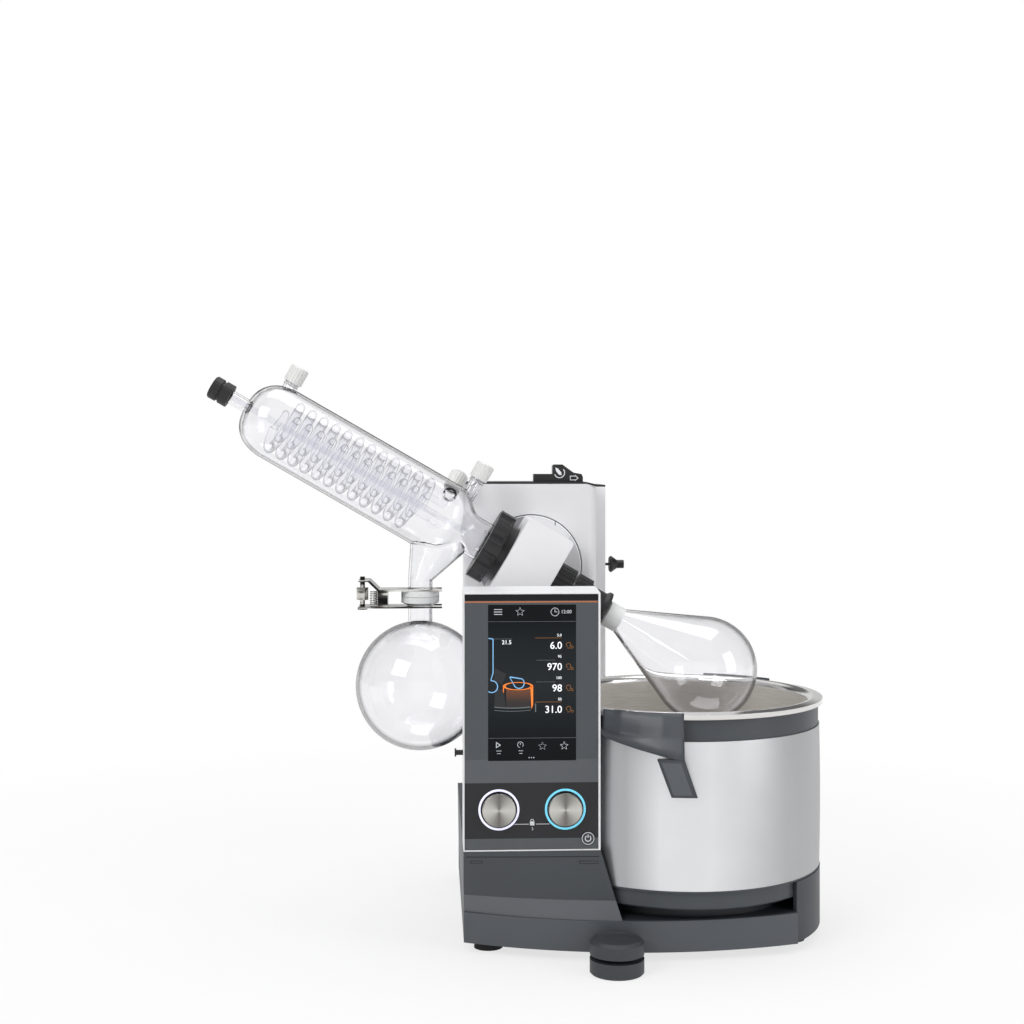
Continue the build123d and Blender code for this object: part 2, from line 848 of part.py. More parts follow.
# Console: casing, dark front plate, display, dials and what stands behind them
console_x = bx((console_left + console_right) / 2)
console_w = console_left - console_right
fascia_y = by(-console_front)
fascia_back_y = fascia_y + fascia_t
fascia_x = console_x + (frame_left - frame_right) / 2
fascia_w = console_w - frame_left - frame_right
fascia_low_z = tower_foot_top_z + frame_low
fascia_top_z = console_top_z - frame_top
console_inner_w = console_w - 2 * frame_right - 2 * wall
console_cut_z = rim_top_z + bath_lift_range + bath_gap
fascia_mid_z = (fascia_low_z + fascia_top_z) / 2
dial_xs = (console_x - dial_pitch / 2, console_x + dial_pitch / 2)
button_x = console_x + console_w / 2 - button_inset
with BuildPart() as console_housing:
    with BuildSketch(Plane.YZ.offset(bx(console_left))):
        with BuildLine():
            Polyline(
                (fascia_y, tower_foot_top_z),
                (fascia_y, console_top_z),
                (by(-console_back), console_top_z + console_rise),
                (by(-console_back), tower_foot_top_z),
                close=True,
            )
        make_face()
    extrude(amount=console_w)
    with BuildSketch(Plane.XY.offset(tower_foot_top_z)):
        with Locations((bath_x, bath_y)):
            Circle(clear_r)
    extrude(amount=console_cut_z - tower_foot_top_z, mode=Mode.SUBTRACT)
    with BuildSketch(Plane.XZ.offset(-fascia_back_y)):
        with Locations((fascia_x, fascia_mid_z)):
            Rectangle(fascia_w, fascia_top_z - fascia_low_z)
    extrude(amount=fascia_t + overrun, mode=Mode.SUBTRACT)
    with BuildSketch(Plane.XY.offset(fascia_low_z + sheet)):
        with Locations((console_x, (fascia_back_y - overrun + by(-console_back) - wall) / 2)):
            Rectangle(console_inner_w, by(-console_back) - wall - fascia_back_y + overrun)
        with Locations((bath_x, bath_y)):
            Circle(clear_r + wall, mode=Mode.SUBTRACT)
    extrude(amount=fascia_top_z - fascia_low_z - 2 * sheet, mode=Mode.SUBTRACT)
console_housing.part.label = "console_housing"
export_step(console_housing.part, "parts/console_housing.step")

screen_mid_z = (screen_bottom_z + screen_top_z) / 2
screen_h = screen_top_z - screen_bottom_z
with BuildPart() as front_plate:
    with BuildSketch(Plane.XZ.offset(-fascia_back_y)):
        with Locations((fascia_x, fascia_mid_z)):
            RectangleRounded(fascia_w - 2 * seat_gap, fascia_top_z - fascia_low_z - 2 * seat_gap, sheet)
        with Locations(*[(x, dial_z) for x in dial_xs]):
            Circle(dial_r + slip_gap, mode=Mode.SUBTRACT)
        with Locations((button_x, button_z)):
            Circle(button_r + slip_gap, mode=Mode.SUBTRACT)
    extrude(amount=fascia_t)
    with BuildSketch(Plane.XZ.offset(-fascia_y)):
        with Locations((console_x, screen_mid_z)):
            Rectangle(screen_w + 2 * fit_gap, screen_h + 2 * fit_gap)
    extrude(amount=-screen_t, mode=Mode.SUBTRACT)
    with BuildSketch(Plane.XZ.offset(-fascia_y)):
        with Locations(*[(x, dial_z) for x in dial_xs]):
            Circle(ring_r + fit_gap)
    extrude(amount=-ring_t, mode=Mode.SUBTRACT)
front_plate.part.label = "front_plate"
export_step(front_plate.part, "parts/front_plate.step")

with BuildPart() as display_screen:
    with BuildSketch(Plane.XZ.offset(-fascia_y - screen_t)):
        with Locations((console_x, screen_mid_z)):
            Rectangle(screen_w, screen_h)
    extrude(amount=screen_t)
display_screen.part.label = "display_screen"
export_step(display_screen.part, "parts/display_screen.step")

dial_back_y = fascia_back_y + sheet
board_y = fascia_back_y + board_gap
with BuildPart() as light_rings:
    with BuildSketch(Plane.XZ.offset(-fascia_y - ring_t)):
        with Locations(*[(x, dial_z) for x in dial_xs]):
            Circle(ring_r)
            Circle(ring_r - ring_w, mode=Mode.SUBTRACT)
    extrude(amount=ring_t)
light_rings.part.label = "light_rings"
export_step(light_rings.part, "parts/light_rings.step")

for dial_name, dial_x in (("left_dial", dial_xs[0]), ("right_dial", dial_xs[1])):
    with BuildPart() as dial:
        with BuildSketch(Plane.XZ.offset(-dial_back_y)):
            with Locations((dial_x, dial_z)):
                Circle(dial_r)
        extrude(amount=dial_proud + fascia_t + sheet)
        chamfer(dial.faces().sort_by(Axis.Y)[0].edges(), sheet / 2)
        with BuildSketch(Plane.XZ.offset(-board_y + slip_gap)):
            with Locations((dial_x, dial_z)):
                Circle(stem_r)
        extrude(amount=board_y - slip_gap - dial_back_y)
    dial.part.label = dial_name
    export_step(dial.part, "parts/" + dial_name + ".step")

with BuildPart() as power_button:
    with BuildSketch(Plane.XZ.offset(-fascia_back_y - sheet / 2)):
        with Locations((button_x, button_z)):
            Circle(button_r)
    extrude(amount=fascia_t + sheet)
power_button.part.label = "power_button"
export_step(power_button.part, "parts/power_button.step")

# Control board on four posts, with its display block, two dial encoders and the button's switch
board_w = console_inner_w - 2 * wall - 4 * post_r - sheet
board_x = console_x - wall - sheet
board_low_z = fascia_low_z + 2 * wall
board_high_z = fascia_top_z - 2 * wall
board_mid_z = (board_low_z + board_high_z) / 2
post_span = board_w - 2 * post_r - sheet
switch_t = board_gap - sheet / 2 - button_travel - slip_gap
with BuildPart() as control_board:
    with BuildSketch(Plane.XZ.offset(-board_y - board_t)):
        with Locations((board_x, board_mid_z)):
            Rectangle(board_w, board_high_z - board_low_z)
    extrude(amount=board_t)
    with BuildSketch(Plane.XZ.offset(-board_y)):
        with Locations((board_x, board_mid_z)):
            with GridLocations(post_span, board_high_z - board_low_z - 2 * encoder_w, 2, 2):
                Circle(post_r)
    extrude(amount=board_gap)
    with BuildSketch(Plane.XZ.offset(-board_y)):
        with Locations((console_x, screen_mid_z)):
            Rectangle(screen_w - 4 * sheet, screen_h - 2 * encoder_w)
    extrude(amount=board_gap - seat_gap)
    with BuildSketch(Plane.XZ.offset(-board_y)):
        with Locations(*[(x, dial_z) for x in dial_xs]):
            Rectangle(encoder_w, encoder_w)
            Circle(stem_r + fit_gap, mode=Mode.SUBTRACT)
    extrude(amount=encoder_t)
    with BuildSketch(Plane.XZ.offset(-board_y)):
        with Locations((button_x - button_r, button_z)):
            Rectangle(switch_w, switch_w)
    extrude(amount=switch_t)
control_board.part.label = "control_board"
export_step(control_board.part, "parts/control_board.step")

with BuildPart() as hose_clip:
    with BuildSketch(Plane.YZ.offset(bx(console_left))):
        with Locations(((fascia_y + by(-console_back)) / 2, hose_clip_z)):
            Circle(post_r)
    extrude(amount=-clip_len)
    with BuildSketch(Plane.YZ.offset(bx(console_left) - clip_len)):
        with Locations(((fascia_y + by(-console_back)) / 2, hose_clip_z)):
            Circle(post_r + sheet)
    extrude(amount=sheet)
hose_clip.part.label = "hose_clip"
export_step(hose_clip.part, "parts/hose_clip.step")

# Rear column with the lift
lift_rod_low_z = base_top_z + wall + lift_down + 2 * seat_gap
column_w = column_left - column_right
with BuildPart() as column_cover:
    with BuildSketch(Plane.XY.offset(tower_foot_top_z)):
        with Locations((column_x, column_mid_y)):
            Rectangle(column_w, column_back - column_front)
            Rectangle(column_w - 2 * wall, column_back - column_front - 2 * wall, mode=Mode.SUBTRACT)
        with Locations((column_x, by(column_front))):
            Rectangle(arm_w + 4 * sheet, 2 * wall + 2 * sheet, mode=Mode.SUBTRACT)
    extrude(amount=column_top_z - tower_foot_top_z)
    with BuildSketch(Plane.YZ.offset(bx(column_right) - wall - overrun)):
        with Locations((column_mid_y, stop_knob_z)):
            Circle(sheet + fit_gap)
    extrude(amount=wall + 2 * overrun, mode=Mode.SUBTRACT)
column_cover.part.label = "column_cover"
export_step(column_cover.part, "parts/column_cover.step")

with BuildPart() as column_cap:
    with BuildSketch(Plane.XY.offset(column_top_z)):
        with Locations((column_x, column_mid_y)):
            Rectangle(column_w, column_back - column_front)
    extrude(amount=column_cap_t)
    with BuildSketch(Plane.XY.offset(column_top_z - wall)):
        with Locations((column_x, column_mid_y)):
            with GridLocations(rod_pitch, 0, 2, 1):
                Circle(rod_r + wall)
    extrude(amount=wall)
column_cap.part.label = "column_cap"
export_step(column_cap.part, "parts/column_cap.step")

with BuildPart() as guide_rods:
    with BuildSketch(Plane.XY.offset(tower_foot_top_z)):
        with Locations((column_x, column_mid_y)):
            with GridLocations(rod_pitch, 0, 2, 1):
                Circle(rod_r)
    extrude(amount=column_top_z - wall - tower_foot_top_z)
guide_rods.part.label = "guide_rods"
export_step(guide_rods.part, "parts/guide_rods.step")

actuator_top_z = carriage_low_z - lift_down - wall
with BuildPart() as lift_actuator:
    with BuildSketch(Plane.XY.offset(base_top_z)):
        with Locations((column_x, column_mid_y)):
            Circle(actuator_r)
    extrude(amount=actuator_top_z - base_top_z)
    with BuildSketch(Plane.XY.offset(base_top_z)):
        with Locations((column_x - motor_w / 2, column_mid_y)):
            RectangleRounded(motor_w, motor_w, 2 * wall)
    extrude(amount=motor_h)
    with BuildSketch(Plane.XY.offset(base_top_z + wall)):
        with Locations((column_x, column_mid_y)):
            Circle(lift_rod_r + fit_gap)
    extrude(amount=actuator_top_z, mode=Mode.SUBTRACT)
lift_actuator.part.label = "lift_actuator"
export_step(lift_actuator.part, "parts/lift_actuator.step")

with BuildPart() as actuator_rod:
    with BuildSketch(Plane.XY.offset(lift_rod_low_z)):
        with Locations((column_x, column_mid_y)):
            Circle(lift_rod_r)
    extrude(amount=carriage_low_z - lift_rod_low_z)
actuator_rod.part.label = "actuator_rod"
export_step(actuator_rod.part, "parts/actuator_rod.step")

head_back_y = by(head_front_y + head_depth)
with BuildPart() as lift_carriage:
    with BuildSketch(Plane.XY.offset(carriage_low_z)):
        with Locations((column_x, column_mid_y)):
            Rectangle(rod_pitch + 2 * bushing_r + 2 * wall, carriage_t)
        with Locations((column_x, (head_back_y + column_mid_y) / 2)):
            Rectangle(arm_w, column_mid_y - head_back_y)
        with Locations((column_x, column_mid_y)):
            with GridLocations(rod_pitch, 0, 2, 1):
                Circle(rod_r + fit_gap, mode=Mode.SUBTRACT)
    extrude(amount=arm_h)
lift_carriage.part.label = "lift_carriage"
export_step(lift_carriage.part, "parts/lift_carriage.step")

knob_cone_x = knob_gap + knob_flange_w + knob_cone_w
knob_place = Vector(bx(column_right), column_mid_y, stop_knob_z)
with BuildPart() as stop_knob:
    with BuildSketch(Plane(origin=knob_place, x_dir=(1, 0, 0), z_dir=(0, -1, 0))):
        with BuildLine():
            Polyline(
                (-wall, 0),
                (-wall, sheet),
                (knob_gap, sheet),
                (knob_gap, knob_flange_r - sheet),
                (knob_gap + sheet, knob_flange_r),
                (knob_gap + knob_flange_w, knob_flange_r),
                (knob_cone_x, knob_grip_r),
                (knob_cone_x + knob_grip_w, knob_grip_r),
                (knob_cone_x + knob_grip_w, 0),
                close=True,
            )
        make_face()
    revolve(axis=Axis(knob_place, (1, 0, 0)))
stop_knob.part.label = "stop_knob"
export_step(stop_knob.part, "parts/stop_knob.step")

# Head box, its lid and the slider on it
head_x0 = bx(head_left)
head_x1 = bx(head_right)
slope_x = head_x1 - head_slope_w
with BuildPart() as head_housing:
    with BuildSketch(upright(head_front_y + head_depth)):
        with BuildLine():
            Polyline(
                (head_x0, head_bottom_z),
                (head_x1, head_bottom_z),
                (head_x1, head_top_z - head_slope_h),
                (slope_x, head_top_z),
                (head_x0, head_top_z),
                close=True,
            )
        make_face()
    extrude(amount=head_depth)
    fillet(head_housing.edges().filter_by(Axis.Z).sort_by(Axis.X)[-2:].sort_by(Axis.Y)[0], head_corner_r)
    with BuildSketch(Plane.XY.offset(head_bottom_z + wall)):
        with Locations(((head_x0 + head_x1) / 2, by(head_front_y + head_depth / 2))):
            Rectangle(head_x1 - head_x0 - 2 * wall, head_depth - 2 * wall)
        fillet(vertices().sort_by(Axis.X)[-2:].sort_by(Axis.Y)[0], head_corner_r - wall)
    extrude(amount=head_top_z - head_bottom_z, mode=Mode.SUBTRACT)
    with BuildSketch(upright(head_front_y + 2 * wall)):
        with Locations((pivot.X, pivot.Z)):
            Circle(disc_r + disc_gap)
    extrude(amount=3 * wall, mode=Mode.SUBTRACT)
head_housing.part.label = "head_housing"
export_step(head_housing.part, "parts/head_housing.step")

slider_y = head_front_y + slider_inset
tongue_x0 = bx(slider_x0) + 3 * overrun
tongue_x1 = tongue_x0 + slider_w
lid_top_z = head_top_z + head_lid_t
with BuildPart() as head_lid:
    with BuildSketch(upright(head_front_y + head_depth)):
        with BuildLine():
            Polyline(
                (head_x0, head_top_z),
                (slope_x, head_top_z),
                (head_x1, head_top_z - head_slope_h),
                (head_x1, lid_top_z - head_slope_h),
                (slope_x, lid_top_z),
                (head_x0, lid_top_z),
                close=True,
            )
        make_face()
    extrude(amount=head_depth)
    with BuildSketch(Plane.XY.offset(head_top_z)):
        with BuildLine():
            Polyline(
                (head_x1, by(head_front_y)),
                (head_x1, by(head_front_y) + head_corner_r),
                (head_x1 - head_corner_r, by(head_front_y)),
                close=True,
            )
        make_face()
        with Locations((head_x1 - head_corner_r, by(head_front_y) + head_corner_r)):
            Circle(head_corner_r, mode=Mode.SUBTRACT)
        with Locations(((tongue_x0 + tongue_x1 + slider_travel) / 2, by(slider_y))):
            Rectangle(tongue_x1 - tongue_x0 + slider_travel + 2 * slip_gap, tongue_w + 2 * slip_gap)
    extrude(amount=head_lid_t, mode=Mode.SUBTRACT)
head_lid.part.label = "head_lid"
export_step(head_lid.part, "parts/head_lid.step")

with BuildPart() as tilt_slider:
    with BuildSketch(upright(slider_y + slider_w / 2)):
        with BuildLine():
            Polyline(
                (bx(slider_x0), lid_top_z),
                (bx(slider_x0), lid_top_z + slider_flat_h),
                (bx(slider_step_x), lid_top_z + slider_flat_h),
                (bx(slider_step_x), lid_top_z + slider_hump_h - sheet),
                (bx(slider_step_x) + sheet, lid_top_z + slider_hump_h),
                (bx(slider_step_x) + 2 * overrun, lid_top_z + slider_hump_h),
                (bx(slider_x1) - 2 * overrun, lid_top_z + slider_flat_h + sheet),
                (bx(slider_x1) - sheet, lid_top_z + slider_flat_h),
                (bx(slider_x1), lid_top_z + slider_flat_h - 2 * sheet),
                (bx(slider_x1), lid_top_z),
                close=True,
            )
        make_face()
    extrude(amount=slider_w)
    with BuildSketch(Plane.XY.offset(head_top_z - 2 * wall)):
        with Locations(((tongue_x0 + tongue_x1) / 2, by(slider_y))):
            Rectangle(tongue_x1 - tongue_x0, tongue_w)
    extrude(amount=head_lid_t + 2 * wall)
tilt_slider.part.label = "tilt_slider"
export_step(tilt_slider.part, "parts/tilt_slider.step")

# Tilt pivot inside the head: a frame with a boss that carries the disc's shaft
frame_y = head_front_y + frame_inset
frame_span = head_x1 - head_x0 - 2 * wall - 2 * seat_gap
frame_deep = head_depth - 2 * wall - seat_gap - (frame_y - head_front_y - wall)
frame_mid_x = (head_x0 + head_x1) / 2
with BuildPart() as head_frame:
    with BuildSketch(Plane.XY.offset(head_bottom_z + wall + seat_gap)):
        with Locations((frame_mid_x, by(frame_y) + frame_deep / 2)):
            Rectangle(frame_span, frame_deep)
        with Locations((frame_mid_x, by(frame_y) + frame_deep / 2 + frame_t)):
            Rectangle(frame_span - 2 * frame_side, frame_deep, mode=Mode.SUBTRACT)
    extrude(amount=frame_h)
    with BuildSketch(upright(frame_y + 2 * frame_t)):
        with Locations((pivot.X, pivot.Z)):
            Circle(tilt_bearing_r)
    extrude(amount=frame_t)
    with BuildSketch(upright(frame_y + 3 * frame_t)):
        with Locations((pivot.X, pivot.Z)):
            Circle(tilt_shaft_r + fit_gap)
    extrude(amount=4 * frame_t, mode=Mode.SUBTRACT)
head_frame.part.label = "head_frame"
export_step(head_frame.part, "parts/head_frame.step")

tilt_shaft_back = frame_y + frame_t + 5 * wall
with BuildPart() as tilt_disc:
    with BuildSketch(upright(head_front_y + disc_t)):
        with Locations((pivot.X, pivot.Z)):
            Circle(disc_r)
    extrude(amount=disc_t)
    with BuildSketch(upright(tilt_shaft_back)):
        with Locations((pivot.X, pivot.Z)):
            Circle(tilt_shaft_r)
    extrude(amount=tilt_shaft_back - head_front_y - disc_t)
tilt_disc.part.label = "tilt_disc"
export_step(tilt_disc.part, "parts/tilt_disc.step")


# Drive block: a housing on the disc that tilts with it
def block_slice(y_back, y_front, inset, u0, u1):
    """Drive block between two places along the axis, thinned by an inset."""
    pivot_plane = Plane(origin=(pivot.X, by(y_back), pivot.Z), x_dir=along, z_dir=(0, -1, 0))
    with BuildPart() as block:
        with BuildSketch(pivot_plane):
            with Locations(((u0 + u1) / 2, 0)):
                RectangleRounded(u1 - u0, 2 * (block_half_h - inset), block_corner_r - inset / 2)
        extrude(amount=y_back - y_front)
    return block.part


side_cover_u0 = block_right_u - wall


def belt_shape(r_big, r_small, u0, u1):
    """Solid round the two pulleys, straight between them."""
    with BuildPart() as loop:
        with BuildSketch(across(u0)):
            Circle(r_big)
            with Locations((motor_offset, motor_offset)):
                Circle(r_small)
            make_hull()
        extrude(amount=u1 - u0)
    return loop.part


with BuildPart() as drive_housing:
    add(block_slice(head_front_y, -block_front_y, 0, -block_left_u, block_right_u))
    add(
        block_slice(head_front_y - wall, wall - block_front_y, wall, wall - block_left_u, side_cover_u0),
        mode=Mode.SUBTRACT,
    )
    add(ring_about_drive(wall - block_left_u - fit_gap, side_cover_u0, tunnel_r, tunnel_r + tunnel_wall))
    add(ring_about_drive(-block_left_u - overrun, 0, 0, hub_r + tunnel_wall), mode=Mode.SUBTRACT)
    add(ring_about_drive(wall - block_left_u, side_cover_u0, 0, tunnel_r + fit_gap), mode=Mode.SUBTRACT)
    add(ring_about_drive(0, 2 * block_right_u, 0, hub_r + slip_gap + fit_gap), mode=Mode.SUBTRACT)
    belt_room = belt_t + sheet / 2
    belt_space = belt_shape(
        rotor_pulley_r + belt_room, pulley_r + belt_room, belt_u0 - sheet / 2, belt_u1 + sheet / 2
    )
    add(belt_space, mode=Mode.SUBTRACT)
drive_housing.part.label = "drive_housing"
export_step(drive_housing.part, "parts/drive_housing.step")

bearing_u = wall - block_left_u + seat_gap
with BuildPart() as hub_bearings:
    add(ring_about_drive(bearing_u, bearing_u + left_bearing_w, hub_r + fit_gap, tunnel_r))
    right_bearing_u = side_cover_u0 - seat_gap
    add(ring_about_drive(right_bearing_u - right_bearing_w, right_bearing_u, hub_r + fit_gap, tunnel_r))
hub_bearings.part.label = "hub_bearings"
export_step(hub_bearings.part, "parts/hub_bearings.step")

with BuildPart() as drive_motor:
    with BuildSketch(across(bearing_u)):
        with Locations((motor_offset, motor_offset)):
            Circle(motor_r)
    extrude(amount=-bearing_u - slip_gap)
    with BuildSketch(across(-4 * wall)):
        with Locations((motor_offset, motor_offset)):
            Circle(motor_shaft_r + fit_gap)
    extrude(amount=4 * wall, mode=Mode.SUBTRACT)
drive_motor.part.label = "drive_motor"
export_step(drive_motor.part, "parts/drive_motor.step")

with BuildPart() as motor_pulley:
    with BuildSketch(across(belt_u0)):
        with Locations((motor_offset, motor_offset)):
            Circle(pulley_r)
    extrude(amount=belt_u1 - belt_u0)
    with BuildSketch(across(sheet - 4 * wall)):
        with Locations((motor_offset, motor_offset)):
            Circle(motor_shaft_r)
    extrude(amount=4 * wall)
motor_pulley.part.label = "motor_pulley"
export_step(motor_pulley.part, "parts/motor_pulley.step")

with BuildPart() as drive_belt:
    add(belt_shape(rotor_pulley_r + belt_t, pulley_r + belt_t, belt_u0, belt_u1 - sheet / 3))
    add(belt_shape(rotor_pulley_r + fit_gap, pulley_r + fit_gap, belt_u0, belt_u1), mode=Mode.SUBTRACT)
drive_belt.part.label = "drive_belt"
export_step(drive_belt.part, "parts/drive_belt.step")

# Hollow hub, its pulley and the glass vapour duct that turn together
hub_u1 = clamp_nut_u1 - fit_gap
with BuildPart() as drive_hub:
    add(ring_about_drive(hub_u0, hub_u1, hub_bore_r, hub_r))
    add(ring_about_drive(belt_u0, belt_u1, hub_bore_r, rotor_pulley_r))
drive_hub.part.label = "drive_hub"
export_step(drive_hub.part, "parts/drive_hub.step")

vapour_duct = ring_about_drive(nut_u0 - overrun, flask_neck_u1 - wall, duct_r - duct_wall, duct_r)
vapour_duct.label = "vapour_duct"
export_step(vapour_duct, "parts/vapour_duct.step")


def ribbed_ring(u0, u1, r_in, r_out, ribs, rib_share):
    """Ring with grip grooves cut along it."""
    groove_r = pi * r_out / ribs * rib_share
    with BuildPart() as ring:
        with BuildSketch(across(u0)):
            Circle(r_out)
            Circle(r_in, mode=Mode.SUBTRACT)
            with PolarLocations(r_out + groove_r / 2, ribs):
                Circle(groove_r, mode=Mode.SUBTRACT)
        extrude(amount=u1 - u0)
    return ring.part


nut_bore = hub_r + fit_gap
hub_nut = ribbed_ring(clamp_nut_u0, clamp_nut_u1, nut_bore, clamp_nut_r, hub_nut_ribs, hub_nut_rib_share)
hub_nut.label = "hub_nut"
export_step(hub_nut, "parts/hub_nut.step")

clip_ring = ribbed_ring(clip_u0, clip_u1, duct_r + fit_gap, clip_r, clip_ribs, clip_rib_share)
clip_ring.label = "clip_ring"
export_step(clip_ring, "parts/clip_ring.step")

flask_clip = turned_about_drive(
    (
        (clip_u1 + seat_gap, duct_r + seat_gap),
        (clip_u1 + seat_gap, clip_waist_r + sheet),
        (clip_u1 + 2 * wall, clip_waist_r),
        (clip_cone_u1 - 2 * wall, clip_waist_r),
        (clip_cone_u1 - wall, clip_lip_r),
        (clip_cone_u1, clip_lip_r),
        (clip_cone_u1, duct_r + seat_gap),
    )
)
flask_clip.label = "flask_clip"
export_step(flask_clip, "parts/flask_clip.step")

# Evaporating flask: a frosted neck, a cone and a sphere that meets it without an edge
flask_wall = flask_neck_r - duct_r - fit_gap


def flask_outline(neck_r, cone_u, ball_radius):
    """Half outline of the flask from its neck to its far end, as (u, r) points."""
    reach = sqrt((flask_u - cone_u) ** 2 + neck_r**2)
    lean = atan2(neck_r, cone_u - flask_u) - acos(ball_radius / reach)
    touch = (flask_u + ball_radius * cos(lean), ball_radius * sin(lean))
    crown = (flask_u + ball_radius * cos(lean / 3), ball_radius * sin(lean / 3))
    return (flask_neck_u0, neck_r), (cone_u, neck_r), touch, crown, (flask_u + ball_radius, 0)


with BuildPart() as evaporating_flask:
    outside = flask_outline(flask_neck_r, flask_neck_u1, flask_r)
    inside = flask_outline(flask_neck_r - flask_wall, flask_neck_u1 + flask_wall / 4, flask_r - flask_wall)
    with BuildSketch(drive_plane):
        with BuildLine():
            Polyline(outside[0], outside[1], outside[2])
            ThreePointArc(outside[2], outside[3], outside[4])
            Line(outside[4], inside[4])
            ThreePointArc(inside[4], inside[3], inside[2])
            Polyline(inside[2], inside[1], inside[0], outside[0])
        make_face()
    revolve(axis=drive_axis)
evaporating_flask.part.label = "evaporating_flask"
export_step(evaporating_flask.part, "parts/evaporating_flask.step")

# Glass side of the drive: collar, seal and union nut
collar_u1 = -block_left_u
collar_u0 = flange_u1 + seat_gap
nut_bore_r = flange_r + nut_side_gap
condenser_collar = turned_about_drive(
    (
        (collar_u0, tunnel_r + seat_gap),
        (collar_u0, nut_bore_r - 2 * seat_gap),
        (nut_u1 + seat_gap, nut_bore_r - 2 * seat_gap),
        (nut_u1 + seat_gap, collar_r),
        (collar_u1, collar_r),
        (collar_u1, tunnel_r + seat_gap),
    )
)
condenser_collar.label = "condenser_collar"
export_step(condenser_collar, "parts/condenser_collar.step")

vapour_seal = ring_about_drive(collar_u0, hub_u0 - 3 * slip_gap, duct_r + fit_gap, tunnel_r)
vapour_seal.label = "vapour_seal"
export_step(vapour_seal, "parts/vapour_seal.step")

lobe_r = nut_r * sin(pi / nut_lobes) * scallop_share
with BuildPart() as union_nut:
    with BuildSketch(across(nut_u0)):
        Circle(nut_r)
        with PolarLocations(nut_r + lobe_r - scallop_depth, nut_lobes):
            Circle(lobe_r, mode=Mode.SUBTRACT)
    extrude(amount=nut_u1 - nut_u0)
    add(ring_about_drive(nut_u1 - nut_lip_w, nut_u1, 0, nut_r - nut_lip_drop))
    add(ring_about_drive(nut_u0 - overrun, nut_u1 + overrun, 0, throat_r + 4 * slip_gap), mode=Mode.SUBTRACT)
    add(ring_about_drive(flange_u0 - seat_gap, nut_u1 + overrun, 0, nut_bore_r), mode=Mode.SUBTRACT)
union_nut.part.label = "union_nut"
export_step(union_nut.part, "parts/union_nut.step")

# Condenser jacket with its shoulder, dome, stubs, coolant nozzles and down branch
shoulder_mid = (shoulder_u0 + shoulder_u1) / 2
feed_neck_u0 = feed_cap_u0 + wall + seat_gap


def jacket_body(thin):
    """Solid of the jacket thinned by a wall: throat, S-shaped shoulder, barrel and dome."""
    end_u = feed_neck_u0 - thin
    with BuildPart() as body:
        with BuildSketch(drive_plane):
            with BuildLine():
                Polyline((end_u, 0), (end_u, feed_r - thin), (apex_u + thin, feed_r - thin))
                Bezier(
                    (apex_u + thin, feed_r - thin),
                    (apex_u + thin, (jacket_r + feed_r) / 2 - thin),
                    ((apex_u + dome_u) / 2 - feed_r, jacket_r - thin),
                    (dome_u, jacket_r - thin),
                )
                Line((dome_u, jacket_r - thin), (shoulder_u0, jacket_r - thin))
                Bezier(
                    (shoulder_u0, jacket_r - thin),
                    (shoulder_mid, jacket_r - thin),
                    (shoulder_mid, throat_r - thin),
                    (shoulder_u1, throat_r - thin),
                )
                Polyline(
                    (shoulder_u1, throat_r - thin), (flange_u0 + thin, throat_r - thin), (flange_u0 + thin, 0)
                )
                Line((flange_u0 + thin, 0), (end_u, 0))
            make_face()
        revolve(axis=drive_axis)
    return body.part


branch_top_z = axis_point.Z + (axis_point.X - bx(branch_top_x)) * sin(tilt) / cos(tilt) - branch_root_drop
branch_start_z = branch_top_z + branch_root_h
flange_top_z = ball_z + ball_flange_h


def branch_body(thin, end_z):
    """Solid of the down branch thinned by a wall: from a wide oval root to a round neck."""
    with BuildPart() as body:
        with BuildSketch(Plane.XY.offset(branch_top_z)):
            with Locations((bx(branch_top_x), by(0))):
                Ellipse(branch_top_rx - thin, branch_top_ry - thin)
        extrude(amount=branch_start_z - branch_top_z)
        with BuildSketch(Plane.XY.offset(branch_top_z)):
            with Locations((bx(branch_top_x), by(0))):
                Ellipse(branch_top_rx - thin, branch_top_ry - thin)
        with BuildSketch(Plane.XY.offset(branch_neck_z)):
            with Locations((bx(receiver_x), by(0))):
                Circle(branch_neck_r - thin)
        loft()
        with BuildSketch(Plane.XY.offset(end_z)):
            with Locations((bx(receiver_x), by(0))):
                Circle(branch_neck_r - thin)
        extrude(amount=branch_neck_z - end_z)
    return body.part


def stub_about(u, v, start, reach, radius):
    """Round stub toward the front between two distances from the axis, at a place along it."""
    root = axis_point + along * u + upward * v - Vector(0, start, 0)
    with BuildPart() as stub:
        with BuildSketch(Plane(origin=root, x_dir=along, z_dir=(0, -1, 0))):
            Circle(radius)
        extrude(amount=reach - start)
    return stub.part


def stub_square(u, turn, start, end, radius, inner=0):
    """Round stub or ring square to the axis, turned from upward to the rear by an angle."""
    outward = upward * cos(radians(turn)) + Vector(0, 1, 0) * sin(radians(turn))
    with BuildPart() as stub:
        with BuildSketch(Plane(origin=axis_point + along * u + outward * start, x_dir=along, z_dir=outward)):
            Circle(radius)
            if inner > 0:
                Circle(inner, mode=Mode.SUBTRACT)
        extrude(amount=end - start)
    return stub.part


